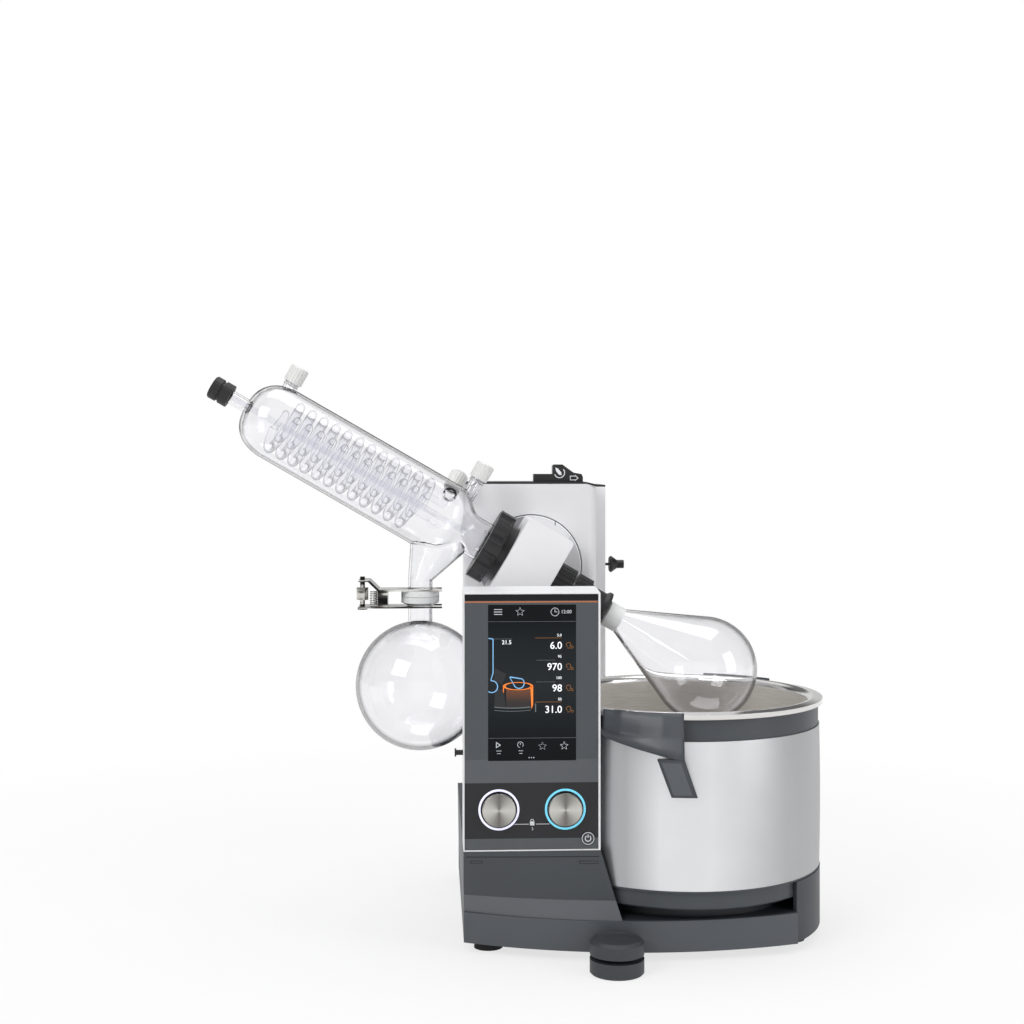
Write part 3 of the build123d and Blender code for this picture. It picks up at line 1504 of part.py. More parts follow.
screw_caps = {
    "vent_cap": (vent_u, 0, vent_cap_base),
    "vacuum_cap": (vacuum_u, 0, vacuum_cap_base),
    "rear_cap": (rear_cap_u, rear_cap_angle, rear_cap_base),
}
ball_centre_z = ball_z + ball_rise
with BuildPart() as condenser_jacket:
    add(jacket_body(0))
    add(ring_about_drive(flange_u0, flange_u1, 0, flange_r))
    add(branch_body(0, ball_z + wall))
    with BuildSketch(Plane.XY.offset(ball_z + seat_gap)):
        with Locations((bx(receiver_x), by(0))):
            Circle(ball_flange_r)
    extrude(amount=ball_flange_h - seat_gap)
    with BuildSketch(Plane(origin=(bx(receiver_x), by(0), ball_centre_z), x_dir=(1, 0, 0), z_dir=(0, -1, 0))):
        Circle(ball_r)
        with Locations((ball_r / 2, ball_z - ball_centre_z - ball_flange_h / 2 + sheet)):
            Rectangle(ball_r, ball_flange_h + 2 * sheet - 2 * slip_gap, mode=Mode.INTERSECT)
    revolve(axis=Axis((bx(receiver_x), by(0), 0), (0, 0, 1)))
    for stub_u, stub_turn, cap_base in screw_caps.values():
        add(stub_square(stub_u, stub_turn, 0, cap_base + cap_h - cap_wall - seat_gap, stub_r))
    for nozzle_v in nozzle_vs:
        add(stub_about(nozzle_u, nozzle_v, 0, nozzle_reach, stub_r))
        bead_end = nozzle_reach - nozzle_len
        add(stub_about(nozzle_u, nozzle_v, bead_end - bead_t, bead_end, stub_r + bead_proud))
    add(jacket_body(glass_wall), mode=Mode.SUBTRACT)
    add(branch_body(glass_wall, ball_centre_z - ball_r - wall), mode=Mode.SUBTRACT)
    for stub_u, stub_turn, cap_base in screw_caps.values():
        add(stub_square(stub_u, stub_turn, 0, cap_base + cap_h, stub_bore_r), mode=Mode.SUBTRACT)
    for nozzle_v in nozzle_vs:
        add(stub_about(nozzle_u, nozzle_v, 0, nozzle_reach + overrun, nozzle_bore_r), mode=Mode.SUBTRACT)
    add(ring_about_drive(shoulder_u1, flange_u1 + overrun, 0, throat_r - glass_wall), mode=Mode.SUBTRACT)
condenser_jacket.part.label = "condenser_jacket"
export_step(condenser_jacket.part, "parts/condenser_jacket.step")


# Cooling coil inside the jacket: a wide helix out, a narrow one back, with tails to the two nozzles
def coil_tube(coil_radius, tube_radius, turn):
    """Helical tube about Z, turned so that both its ends are at an angle."""
    with BuildPart() as tube:
        with BuildLine() as path:
            Helix(coil_pitch, coil_pitch * coil_turns, coil_radius)
        with BuildSketch(Plane(origin=path.line @ 0, z_dir=path.line % 0)):
            Circle(tube_radius)
        sweep(path=path.wires()[0], is_frenet=True)
    return Rot(0, 0, turn) * tube.part


def tube_run(points, radius):
    """Straight tubes from point to point with a ball at each bend."""
    with BuildPart() as run:
        for start, end in zip(points, points[1:]):
            with BuildSketch(Plane(origin=start, z_dir=end - start)):
                Circle(radius)
            extrude(amount=(end - start).length)
            with Locations(start):
                Sphere(radius)
    return run.part


coil_len = coil_pitch * coil_turns
tail_u = nozzle_u - coil_u0
inner_wall_r = jacket_r - glass_wall - seat_gap
outer_end = Vector(-sqrt(coil_r**2 - nozzle_vs[1] ** 2), nozzle_vs[1], coil_len)
inner_end = Vector(0, inner_coil_r, coil_len)
outer_turn = degrees(atan2(outer_end.Y, outer_end.X))
inner_wall_x = (-sqrt(inner_wall_r**2 - nozzle_vs[0] ** 2), -sqrt(inner_wall_r**2 - nozzle_vs[1] ** 2))
outer_route = (
    outer_end,
    Vector(outer_end.X, outer_end.Y, tail_u),
    Vector(inner_wall_x[1], outer_end.Y, tail_u),
)
inner_route = (
    inner_end,
    Vector(0, inner_coil_r, tail_u),
    Vector(0, nozzle_vs[0], tail_u),
    Vector(inner_wall_x[0], nozzle_vs[0], tail_u),
)
link_route = (Vector(outer_end.X, outer_end.Y, 0), Vector(0, inner_coil_r, 0))
with BuildPart() as coil_shape:
    add(coil_tube(coil_r, coil_tube_r, outer_turn))
    add(coil_tube(inner_coil_r, inner_coil_tube_r, degrees(pi / 2)))
    add(tube_run(outer_route, nozzle_bore_r))
    add(tube_run(inner_route, inner_coil_tube_r))
    add(tube_run(link_route, feed_tube_r))
cooling_coil = across(coil_u0).location * coil_shape.part
cooling_coil.label = "cooling_coil"
export_step(cooling_coil, "parts/cooling_coil.step")

feed_tube = turned_about_drive(
    (
        (feed_neck_u0, feed_tube_r / 2),
        (feed_neck_u0, feed_r - glass_wall - seat_gap),
        (feed_neck_u0 + 2 * wall, feed_r - glass_wall - seat_gap),
        (feed_neck_u0 + 2 * wall, feed_tube_r),
        (feed_tube_u1, feed_tube_r),
        (feed_tube_u1, feed_tube_r / 2),
    )
)
feed_tube.label = "feed_tube"
export_step(feed_tube, "parts/feed_tube.step")

feed_cap_mid = (feed_cap_u0 + feed_cap_u1) / 2
feed_cap = turned_about_drive(
    (
        (feed_cap_u0, 0),
        (feed_cap_u0, feed_cap_r - sheet),
        (feed_cap_u0 + sheet, feed_cap_r),
        (feed_cap_mid - sheet, feed_cap_r),
        (feed_cap_mid - sheet, feed_cap_r - sheet),
        (feed_cap_mid + sheet, feed_cap_r - sheet),
        (feed_cap_mid + sheet, feed_cap_r),
        (feed_cap_u1, feed_cap_r),
        (feed_cap_u1, feed_r + slip_gap),
        (feed_cap_u0 + wall, feed_r + slip_gap),
        (feed_cap_u0 + wall, 0),
    )
)
feed_cap.label = "feed_cap"
export_step(feed_cap, "parts/feed_cap.step")

for cap_name, (cap_u, cap_turn, cap_base) in screw_caps.items():
    with BuildPart() as screw_cap:
        add(stub_square(cap_u, cap_turn, cap_base, cap_base + cap_h, cap_r))
        chamfer(screw_cap.edges().filter_by(GeomType.CIRCLE).sort_by(Axis(axis_point, upward))[-1], sheet)
        cap_room = stub_square(cap_u, cap_turn, cap_base, cap_base + cap_h - cap_wall, stub_r + slip_gap)
        add(cap_room, mode=Mode.SUBTRACT)
    screw_cap.part.label = cap_name
    export_step(screw_cap.part, "parts/" + cap_name + ".step")

# Receiving flask under the ball joint
socket_r = ball_r + slip_gap
cup_low_z = ball_z - ball_flange_h
cup_top_z = ball_z - seat_gap
neck_bore_r = receiver_neck_r - glass_wall


def height_on_ball(radius, centre_z, r):
    """Height above a ball's centre line at a distance r from its middle, for the upper half."""
    return centre_z + sqrt(radius**2 - r**2)


receiver_plane = Plane(origin=(bx(receiver_x), by(0), 0), x_dir=(1, 0, 0), z_dir=(0, -1, 0))
receiver_axis = Axis((bx(receiver_x), by(0), 0), (0, 0, 1))
socket_low_r = sqrt(socket_r**2 - (ball_centre_z - cup_low_z) ** 2)
socket_top_r = sqrt(socket_r**2 - (ball_centre_z - cup_top_z) ** 2)
socket_mid_z = (cup_low_z + cup_top_z) / 2
socket_mid_r = sqrt(socket_r**2 - (ball_centre_z - socket_mid_z) ** 2)
flask_inner_r = receiver_r - glass_wall
with BuildPart() as receiving_flask:
    with BuildSketch(receiver_plane):
        with BuildLine():
            ThreePointArc(
                (socket_top_r, cup_top_z), (socket_mid_r, socket_mid_z), (socket_low_r, cup_low_z)
            )
            Polyline(
                (socket_low_r, cup_low_z),
                (neck_bore_r, cup_low_z),
                (neck_bore_r, height_on_ball(flask_inner_r, receiver_z, neck_bore_r)),
            )
            ThreePointArc(
                (neck_bore_r, height_on_ball(flask_inner_r, receiver_z, neck_bore_r)),
                (flask_inner_r, receiver_z),
                (0, receiver_z - flask_inner_r),
            )
            Line((0, receiver_z - flask_inner_r), (0, receiver_z - receiver_r))
            ThreePointArc(
                (0, receiver_z - receiver_r),
                (receiver_r, receiver_z),
                (receiver_neck_r, height_on_ball(receiver_r, receiver_z, receiver_neck_r)),
            )
            Polyline(
                (receiver_neck_r, height_on_ball(receiver_r, receiver_z, receiver_neck_r)),
                (receiver_neck_r, cup_low_z - wall),
                (ball_flange_r, cup_low_z),
                (ball_flange_r, cup_top_z),
                (socket_top_r, cup_top_z),
            )
        make_face()
    revolve(axis=receiver_axis)
receiving_flask.part.label = "receiving_flask"
export_step(receiving_flask.part, "parts/receiving_flask.step")

# Fork clamp round the ball joint, with its screw and knurled nut
fork_x0 = bx(receiver_x + clamp_len - clamp_reach)
fork_x1 = bx(receiver_x - clamp_reach)
fork_low_z = cup_low_z - wall - seat_gap - clamp_t
fork_high_z = flange_top_z + seat_gap
clamp_pin_x0 = bx(clamp_pin_x) - hinge_w / 2
slot_r = branch_neck_r + 2 * slip_gap
with BuildPart() as clamp_forks:
    with BuildSketch(upright(clamp_w / 2)):
        with BuildLine():
            Polyline(
                (fork_x0, fork_high_z + fork_raise),
                (clamp_pin_x0 - hinge_w, fork_high_z + fork_raise),
                (clamp_pin_x0, fork_high_z),
                (fork_x1, fork_high_z),
                (fork_x1, fork_high_z + clamp_t),
                (clamp_pin_x0 + clamp_t, fork_high_z + clamp_t),
                (clamp_pin_x0 + clamp_t - hinge_w, fork_high_z + fork_raise + clamp_t),
                (fork_x0, fork_high_z + fork_raise + clamp_t),
                close=True,
            )
        make_face()
        with Locations(((fork_x0 + fork_x1) / 2, fork_low_z + clamp_t / 2)):
            Rectangle(fork_x1 - fork_x0, clamp_t)
        with Locations((bx(clamp_pin_x), (fork_low_z + fork_high_z + clamp_t) / 2)):
            Rectangle(hinge_w, fork_high_z - fork_low_z)
    extrude(amount=clamp_w)
    with BuildSketch(Plane.XY.offset(fork_low_z - overrun)):
        with Locations((bx(receiver_x), by(0))):
            Circle(slot_r)
        with Locations((bx(receiver_x) + clamp_reach, by(0))):
            Rectangle(2 * clamp_reach, 2 * slot_r)
        with Locations((bx(clamp_screw_x), by(0))):
            Circle(post_r + fit_gap)
    extrude(amount=fork_high_z + fork_raise - fork_low_z + 2 * overrun, mode=Mode.SUBTRACT)
clamp_forks.part.label = "clamp_forks"
export_step(clamp_forks.part, "parts/clamp_forks.step")

clamp_nut_z0 = fork_low_z + clamp_t + 2 * wall
clamp_nut_z1 = fork_high_z + wall
with BuildPart() as clamp_screw:
    with BuildSketch(Plane.XY.offset(fork_low_z - seat_gap - screw_head_t)):
        with Locations((bx(clamp_screw_x), by(0))):
            Circle(2 * post_r)
    extrude(amount=screw_head_t)
    with BuildSketch(Plane.XY.offset(fork_low_z - seat_gap)):
        with Locations((bx(clamp_screw_x), by(0))):
            Circle(post_r)
    extrude(amount=fork_high_z + fork_raise + clamp_t + wall - fork_low_z)
clamp_screw.part.label = "clamp_screw"
export_step(clamp_screw.part, "parts/clamp_screw.step")

with BuildPart() as clamp_nut:
    with BuildSketch(Plane.XY.offset(clamp_nut_z0)):
        with Locations((bx(clamp_screw_x), by(0))):
            Circle(clamp_nut_out_r)
            Circle(post_r + fit_gap, mode=Mode.SUBTRACT)
    extrude(amount=clamp_nut_z1 - clamp_nut_z0)
clamp_nut.part.label = "clamp_nut"
export_step(clamp_nut.part, "parts/clamp_nut.step")
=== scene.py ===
from math import atan2, cos, pi, radians, sin

import bmesh
import bpy
from mathutils import Matrix, Vector


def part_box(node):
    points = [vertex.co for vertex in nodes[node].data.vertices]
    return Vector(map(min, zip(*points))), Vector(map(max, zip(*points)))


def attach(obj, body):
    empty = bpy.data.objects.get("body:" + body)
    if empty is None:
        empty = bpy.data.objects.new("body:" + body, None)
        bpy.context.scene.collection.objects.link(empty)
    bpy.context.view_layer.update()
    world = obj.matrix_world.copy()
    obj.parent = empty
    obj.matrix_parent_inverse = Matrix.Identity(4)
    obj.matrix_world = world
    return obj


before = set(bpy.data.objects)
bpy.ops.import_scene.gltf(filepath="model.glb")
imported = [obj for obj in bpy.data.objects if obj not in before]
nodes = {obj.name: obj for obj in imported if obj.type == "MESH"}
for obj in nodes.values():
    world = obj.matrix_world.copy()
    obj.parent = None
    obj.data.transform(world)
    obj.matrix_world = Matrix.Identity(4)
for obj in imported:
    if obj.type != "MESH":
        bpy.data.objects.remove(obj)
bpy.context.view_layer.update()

MM = 0.001
scene = bpy.context.scene


# Places on the object, in metres, read from the frame
def middle(node):
    """Middle of a CAD node's box."""
    low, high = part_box(node)
    return (Vector(low) + Vector(high)) / 2


tilt = radians(30.0)
along = Vector((cos(tilt), 0, -sin(tilt)))
upward = Vector((sin(tilt), 0, cos(tilt)))
rearward = Vector((0, 1, 0))
forward = Vector((0, -1, 0))
pot_low, pot_high = (Vector(corner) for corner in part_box("bath_pot"))
bath_middle = (pot_low + pot_high) / 2
disc_middle = middle("tilt_disc")
pivot = Vector((disc_middle.x, bath_middle.y, disc_middle.z))
axis_drop = 2.5
axis_point = pivot - upward * axis_drop * MM
screen_low, screen_high = (Vector(corner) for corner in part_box("display_screen"))
plate_low, plate_high = (Vector(corner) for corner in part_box("front_plate"))
console_x = (screen_low.x + screen_high.x) / 2

# Most of a noise's values lie between these two
noise_low, noise_high = 0.3, 0.7
# Sockets of a Mix node that is set to colours
first_colour, second_colour, mixed_colour = 6, 7, 2


# Node trees
def linear(red, green, blue):
    """Colour from 0-255 display values."""
    def one(value):
        value = value / 255
        return value / 12.92 if value <= 0.04045 else ((value + 0.055) / 1.055) ** 2.4

    return one(red), one(green), one(blue), 1.0


def grey(value):
    return value, value, value, 1.0


def scaled(colour, share):
    return tuple(channel * share for channel in colour[:3]) + (1.0,)


def shader_of(name):
    """Empty node material with its Principled shader."""
    material = bpy.data.materials.new(name)
    material.use_nodes = True
    tree = material.node_tree
    return material, tree, tree.nodes["Principled BSDF"]


def wire(tree, source, target):
    """Link a socket to another, or set it where the source is a plain value."""
    if isinstance(source, bpy.types.NodeSocket):
        tree.links.new(source, target)
    else:
        target.default_value = source


def maths(tree, operation, first, second):
    """Math node of two sockets or numbers."""
    node = tree.nodes.new("ShaderNodeMath")
    node.operation = operation
    wire(tree, first, node.inputs[0])
    wire(tree, second, node.inputs[1])
    return node.outputs["Value"]


def measured(tree, operation, vector, other=(0, 0, 0)):
    """Number that an operation gives for one or two vectors."""
    node = tree.nodes.new("ShaderNodeVectorMath")
    node.operation = operation
    wire(tree, vector, node.inputs[0])
    wire(tree, other, node.inputs[1])
    return node.outputs["Value"]


def object_place(tree):
    return tree.nodes.new("ShaderNodeTexCoord").outputs["Object"]


def coordinate(tree, axis):
    """One object coordinate, X, Y or Z."""
    split = tree.nodes.new("ShaderNodeSeparateXYZ")
    wire(tree, object_place(tree), split.inputs["Vector"])
    return split.outputs[axis]


def stretched(tree, scale):
    """Object coordinates scaled along each axis."""
    mapping = tree.nodes.new("ShaderNodeMapping")
    mapping.inputs["Scale"].default_value = scale
    wire(tree, object_place(tree), mapping.inputs["Vector"])
    return mapping.outputs["Vector"]


def reach_along(tree, origin, direction):
    """Distance in metres from a point along a direction, on object coordinates."""
    dot = measured(tree, "DOT_PRODUCT", object_place(tree), direction)
    return maths(tree, "SUBTRACT", dot, Vector(origin).dot(Vector(direction)))


def axis_place(tree, origin, direction):
    """Object coordinates centred on a point and turned so that Z runs along a direction."""
    mapping = tree.nodes.new("ShaderNodeMapping")
    mapping.vector_type = "TEXTURE"
    mapping.inputs["Location"].default_value = origin
    mapping.inputs["Rotation"].default_value = direction.to_track_quat("Z", "Y").to_euler()
    wire(tree, object_place(tree), mapping.inputs["Vector"])
    return mapping.outputs["Vector"]


def ribs_round(tree, origin, direction, count):
    """Wave that rises and falls a number of times round an axis."""
    turn = tree.nodes.new("ShaderNodeTexGradient")
    turn.gradient_type = "RADIAL"
    wire(tree, axis_place(tree, origin, direction), turn.inputs["Vector"])
    return maths(tree, "PINGPONG", maths(tree, "MULTIPLY", turn.outputs["Fac"], 2.0 * count), 1.0)


def rings_round(tree, origin, direction, scale):
    """Fine turning marks round an axis."""
    wave = tree.nodes.new("ShaderNodeTexWave")
    wave.wave_type = "RINGS"
    wave.rings_direction = "Z"
    wave.inputs["Scale"].default_value = scale
    wave.inputs["Distortion"].default_value = 1.5
    wave.inputs["Detail"].default_value = 3.0
    wire(tree, axis_place(tree, origin, direction), wave.inputs["Vector"])
    return wave.outputs["Fac"]


def object_noise(tree, scale, detail=3.0, stretch=(1, 1, 1)):
    """Noise on object coordinates."""
    noise = tree.nodes.new("ShaderNodeTexNoise")
    noise.inputs["Scale"].default_value = scale
    noise.inputs["Detail"].default_value = detail
    wire(tree, stretched(tree, stretch), noise.inputs["Vector"])
    return noise.outputs["Fac"]


def spread(tree, source, low, high, start=noise_low, end=noise_high):
    """Map a value that runs from start to end to a range."""
    span = tree.nodes.new("ShaderNodeMapRange")
    span.inputs["From Min"].default_value = start
    span.inputs["From Max"].default_value = end
    span.inputs["To Min"].default_value = low
    span.inputs["To Max"].default_value = high
    wire(tree, source, span.inputs["Value"])
    return span.outputs["Result"]


def toned(tree, value, stops, interpolation="LINEAR"):
    """Colour ramp over (place, colour) stops."""
    ramp = tree.nodes.new("ShaderNodeValToRGB")
    ramp.color_ramp.interpolation = interpolation
    while len(ramp.color_ramp.elements) < len(stops):
        ramp.color_ramp.elements.new(1.0)
    for element, (place, colour) in zip(ramp.color_ramp.elements, stops):
        element.position = place
        element.color = colour
    wire(tree, value, ramp.inputs["Fac"])
    return ramp.outputs["Color"]


def noise_toned(tree, noise, first, second):
    """Colour that a noise leads from one to another."""
    return toned(tree, noise, ((noise_low, first), (noise_high, second)))


def mixed(tree, share, first, second, blend="MIX"):
    """Colour mixed from two, each a socket or a colour."""
    mix = tree.nodes.new("ShaderNodeMix")
    mix.data_type = "RGBA"
    mix.blend_type = blend
    wire(tree, share, mix.inputs["Factor"])
    wire(tree, first, mix.inputs[first_colour])
    wire(tree, second, mix.inputs[second_colour])
    return mix.outputs[mixed_colour]


def shaded(tree, noise, tone, share):
    """Tone made a little darker and lighter by a noise."""
    change = noise_toned(tree, noise, grey(1 - share), grey(1 + share))
    return mixed(tree, 1.0, tone, change, "MULTIPLY")


def facing(tree):
    """Nought where a wall is seen square on, one where it is seen edge on."""
    weight = tree.nodes.new("ShaderNodeLayerWeight")
    weight.inputs["Blend"].default_value = 0.5
    return weight.outputs["Facing"]


def chosen(tree, share, first, second):
    """Shader that goes from the first to the second as a share goes from nought to one."""
    mix = tree.nodes.new("ShaderNodeMixShader")
    wire(tree, share, mix.inputs["Fac"])
    wire(tree, first, mix.inputs[1])
    wire(tree, second, mix.inputs[2])
    return mix.outputs["Shader"]


def show(tree, surface):
    """Put a shader on the material's surface."""
    wire(tree, surface, tree.nodes["Material Output"].inputs["Surface"])


def surface_relief(tree, shader, height, strength, edge, deep=0.2):
    """Bump of a depth over edges softened by a radius, both in millimetres."""
    bump = tree.nodes.new("ShaderNodeBump")
    bump.inputs["Strength"].default_value = strength
    bump.inputs["Distance"].default_value = deep * MM
    soft = tree.nodes.new("ShaderNodeBevel")
    soft.samples = 4
    soft.inputs["Radius"].default_value = edge * MM
    wire(tree, height, bump.inputs["Height"])
    wire(tree, soft.outputs["Normal"], bump.inputs["Normal"])
    wire(tree, bump.outputs["Normal"], shader.inputs["Normal"])


# Kinds of finish; a colour may be a function that gives a tone over the piece
def moulded(
    name, colour, roughness=0.45, depth=0.06, edge=0.6, grain=900.0, contrast=0.04, gloss=0.5
):
    """Moulded or lacquered plastic: fine grain, slight tone changes and softened edges."""
    material, tree, shader = shader_of(name)
    broad = object_noise(tree, 14.0)
    if callable(colour):
        base = shaded(tree, broad, colour(tree), contrast)
    else:
        base = noise_toned(tree, broad, scaled(colour, 1 - contrast), scaled(colour, 1 + contrast))
    wire(tree, base, shader.inputs["Base Color"])
    wire(tree, spread(tree, broad, roughness - 0.04, roughness + 0.05), shader.inputs["Roughness"])
    shader.inputs["Specular IOR Level"].default_value = gloss
    surface_relief(tree, shader, object_noise(tree, grain, 2.0), depth, edge)
    return material


def metal(name, colour, roughness):
    """Metal with fine marks and an uneven gloss."""
    material, tree, shader = shader_of(name)
    marks = object_noise(tree, 300.0, 4.0)
    shader.inputs["Metallic"].default_value = 1.0
    base = noise_toned(tree, marks, scaled(colour, 0.9), scaled(colour, 1.06))
    wire(tree, base, shader.inputs["Base Color"])
    gloss = spread(tree, object_noise(tree, 12.0), roughness - 0.05, roughness + 0.06)
    wire(tree, gloss, shader.inputs["Roughness"])
    surface_relief(tree, shader, marks, 0.04, 0.3)
    return material


def polished_spring_steel(name):
    """Polished sheet steel with long dark and bright streaks painted in its colour, as a painted
    reflection of a studio.
    """
    material, tree, shader = shader_of(name)
    streaks = object_noise(tree, 55.0, 2.0, (0.35, 1.0, 2.4))
    # These near-black to near-white stops are a painted reflection
    stops = (
        (0.42, linear(22, 22, 24)),
        (0.52, linear(70, 68, 66)),
        (0.58, linear(206, 204, 198)),
        (0.68, linear(236, 235, 232)),
    )
    wire(tree, toned(tree, streaks, stops), shader.inputs["Base Color"])
    shader.inputs["Metallic"].default_value = 0.9
    wire(tree, spread(tree, streaks, 0.12, 0.26), shader.inputs["Roughness"])
    surface_relief(tree, shader, streaks, 0.05, 0.4)
    return material


def spun_dial(name, dial):
    """Spun steel dial: fine turning marks, and light and dark fans round its face as a painted
    reflection.
    """
    material, tree, shader = shader_of(name)
    centre = middle(dial)
    marks = rings_round(tree, centre, forward, 900.0)
    shader.inputs["Metallic"].default_value = 1.0
    shader.inputs["Anisotropic"].default_value = 0.4
    # The fans' bright and dark greys are a painted reflection of the spun face
    stops = (
        (0.0, linear(206, 204, 198)),
        (0.35, linear(186, 184, 178)),
        (0.75, linear(146, 144, 140)),
        (1.0, linear(118, 116, 112)),
    )
    face = toned(tree, ribs_round(tree, centre, forward, 2), stops)
    wire(tree, shaded(tree, marks, face, 0.06), shader.inputs["Base Color"])
    wire(tree, spread(tree, marks, 0.3, 0.42), shader.inputs["Roughness"])
    surface_relief(tree, shader, marks, 0.08, 0.5)
    return material


def pot_finish(rim_depth=7.5, change=3.0):
    """Deep-drawn steel: satin and warm inside, polished on the rim, in millimetres of height."""
    material, tree, shader = shader_of("deep_drawn_steel")
    height = coordinate(tree, "Z")
    top = pot_high.z - rim_depth * MM
    inside = spread(tree, height, 1.0, 0.0, top, top + change * MM)
    marks = object_noise(tree, 50.0, 4.0, (1, 1, 24))
    satin = noise_toned(tree, marks, linear(190, 186, 180), linear(208, 204, 198))
    polished = noise_toned(tree, marks, linear(214, 213, 211), linear(224, 223, 222))
    wire(tree, mixed(tree, inside, polished, satin), shader.inputs["Base Color"])
    wire(tree, spread(tree, inside, 1.0, 0.3, 0.0, 1.0), shader.inputs["Metallic"])
    wire(tree, spread(tree, inside, 0.07, 0.45, 0.0, 1.0), shader.inputs["Roughness"])
    surface_relief(tree, shader, marks, 0.03, 0.3)
    return material


def clear_glass(name, frosted=None):
    """Laboratory glass: clear, slightly wavy, dark edge on; ground where frosted says so."""
    material, tree, shader = shader_of(name)
    clear, dark = (0.955, 0.955, 0.968, 1.0), (0.025, 0.025, 0.0275, 1.0)
    tone = toned(tree, facing(tree), ((0.0, clear), (0.6, clear), (0.8, dark), (1.0, dark)))
    wire(tree, tone, shader.inputs["Base Color"])
    shader.inputs["Transmission Weight"].default_value = 1.0
    shader.inputs["IOR"].default_value = 1.47
    broad = object_noise(tree, 9.0)
    wire(tree, spread(tree, broad, 0.0, 0.012), shader.inputs["Roughness"])
    waves = tree.nodes.new("ShaderNodeBump")
    waves.inputs["Strength"].default_value = 0.012
    waves.inputs["Distance"].default_value = 2.0 * MM
    wire(tree, broad, waves.inputs["Height"])
    wire(tree, waves.outputs["Normal"], shader.inputs["Normal"])
    passing = tree.nodes.new("ShaderNodeBsdfTransparent").outputs["BSDF"]
    shadow = tree.nodes.new("ShaderNodeLightPath").outputs["Is Shadow Ray"]
    surface = chosen(tree, shadow, shader.outputs["BSDF"], passing)
    if frosted is not None:
        ground = tree.nodes.new("ShaderNodeBsdfPrincipled")
        grain = object_noise(tree, 1200.0)
        frost = noise_toned(tree, grain, linear(236, 238, 238), linear(248, 249, 249))
        wire(tree, frost, ground.inputs["Base Color"])
        ground.inputs["Roughness"].default_value = 0.6
        ground.inputs["Transmission Weight"].default_value = 0.2
        surface = chosen(tree, frosted(tree), surface, ground.outputs["BSDF"])
    show(tree, surface)
    return material


def thin_tube_glass(name, dark):
    """Thin tube full of liquid: clear in the middle and dark along its edges."""
    material, tree, shader = shader_of(name)
    cloud = object_noise(tree, 60.0)
    tint = noise_toned(tree, cloud, scaled(dark, 0.9), scaled(dark, 1.1))
    wire(tree, tint, shader.inputs["Base Color"])
    shader.inputs["Roughness"].default_value = 0.12
    passing = tree.nodes.new("ShaderNodeBsdfTransparent")
    passing.inputs["Color"].default_value = (0.975, 0.975, 0.985, 1.0)
    behind = tree.nodes.new("ShaderNodeNewGeometry").outputs["Backfacing"]
    edge = spread(tree, facing(tree), 0.015, 0.95, 0.5, 0.95)
    share = maths(tree, "MULTIPLY", maths(tree, "SUBTRACT", 1.0, behind), edge)
    show(tree, chosen(tree, share, passing.outputs["BSDF"], shader.outputs["BSDF"]))
    return material


def lit(name, colour, strength):
    """Printed or lit mark, with a faint unevenness."""
    material, tree, shader = shader_of(name)
    noise = object_noise(tree, 400.0)
    if callable(colour):
        glow = shaded(tree, noise, colour(tree), 0.03)
    else:
        glow = noise_toned(tree, noise, scaled(colour, 0.94), colour)
    wire(tree, glow, shader.inputs["Base Color"])
    wire(tree, glow, shader.inputs["Emission Color"])
    shader.inputs["Emission Strength"].default_value = strength
    shader.inputs["Roughness"].default_value = 0.4
    return material


def ribbed_cap(name, cap, colour, direction, count, depth=0.5):
    """Moulded cap with grip ribs round its side, their hollows painted a little darker as shade."""
    material, tree, shader = shader_of(name)
    ribs = ribs_round(tree, middle(cap), direction, count)
    # The ribs' hollows are a tenth darker, as painted shade
    stops = ((0.0, scaled(colour, 0.9)), (0.5, colour))
    wire(tree, toned(tree, ribs, stops), shader.inputs["Base Color"])
    shader.inputs["Roughness"].default_value = 0.5
    surface_relief(tree, shader, ribs, depth, 0.5, 0.8)
    return material


# Tones over one piece; the shell's and the tilt disc's are painted light and shade
def height_zones(low, high, zones, interpolation="CONSTANT"):
    """Tone that changes with height; zones are (height in millimetres, colour)."""
    def tone(tree):
        share = spread(tree, coordinate(tree, "Z"), 0.0, 1.0, low * MM, high * MM)
        stops = [((height - low) / (high - low), colour) for height, colour in zones]
        return toned(tree, share, stops, interpolation)

    return tone


def shell_painted_falloff(tree):
    """Silver of the bath shell with painted light and shade: brightest left of its middle, falling off
    to the right edge.
    """
    low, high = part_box("bath_shell")
    share = spread(tree, coordinate(tree, "X"), 0.0, 1.0, low[0], high[0])
    stops = (
        (0.25, linear(176, 177, 179)),
        (0.36, linear(228, 229, 231)),
        (0.53, linear(228, 229, 231)),
        (0.66, linear(203, 204, 206)),
        (0.8, linear(180, 181, 183)),
        (0.93, linear(173, 174, 176)),
        (1.0, linear(148, 149, 151)),
    )
    return toned(tree, share, stops)


def disc_painted_shade(tree, reach=60.0):
    """Grey of the tilt disc with painted shade: darker beside the collar and a little darker beside
    the hub nut.
    """
    place = reach_along(tree, axis_point, along)
    share = spread(tree, place, 0.0, 1.0, -reach * MM, reach * MM)
    stops = (
        (0.0, linear(154, 154, 158)),
        (0.2375, linear(226, 226, 228)),
        (0.665, linear(212, 212, 215)),
    )
    return toned(tree, share, stops, "CONSTANT")


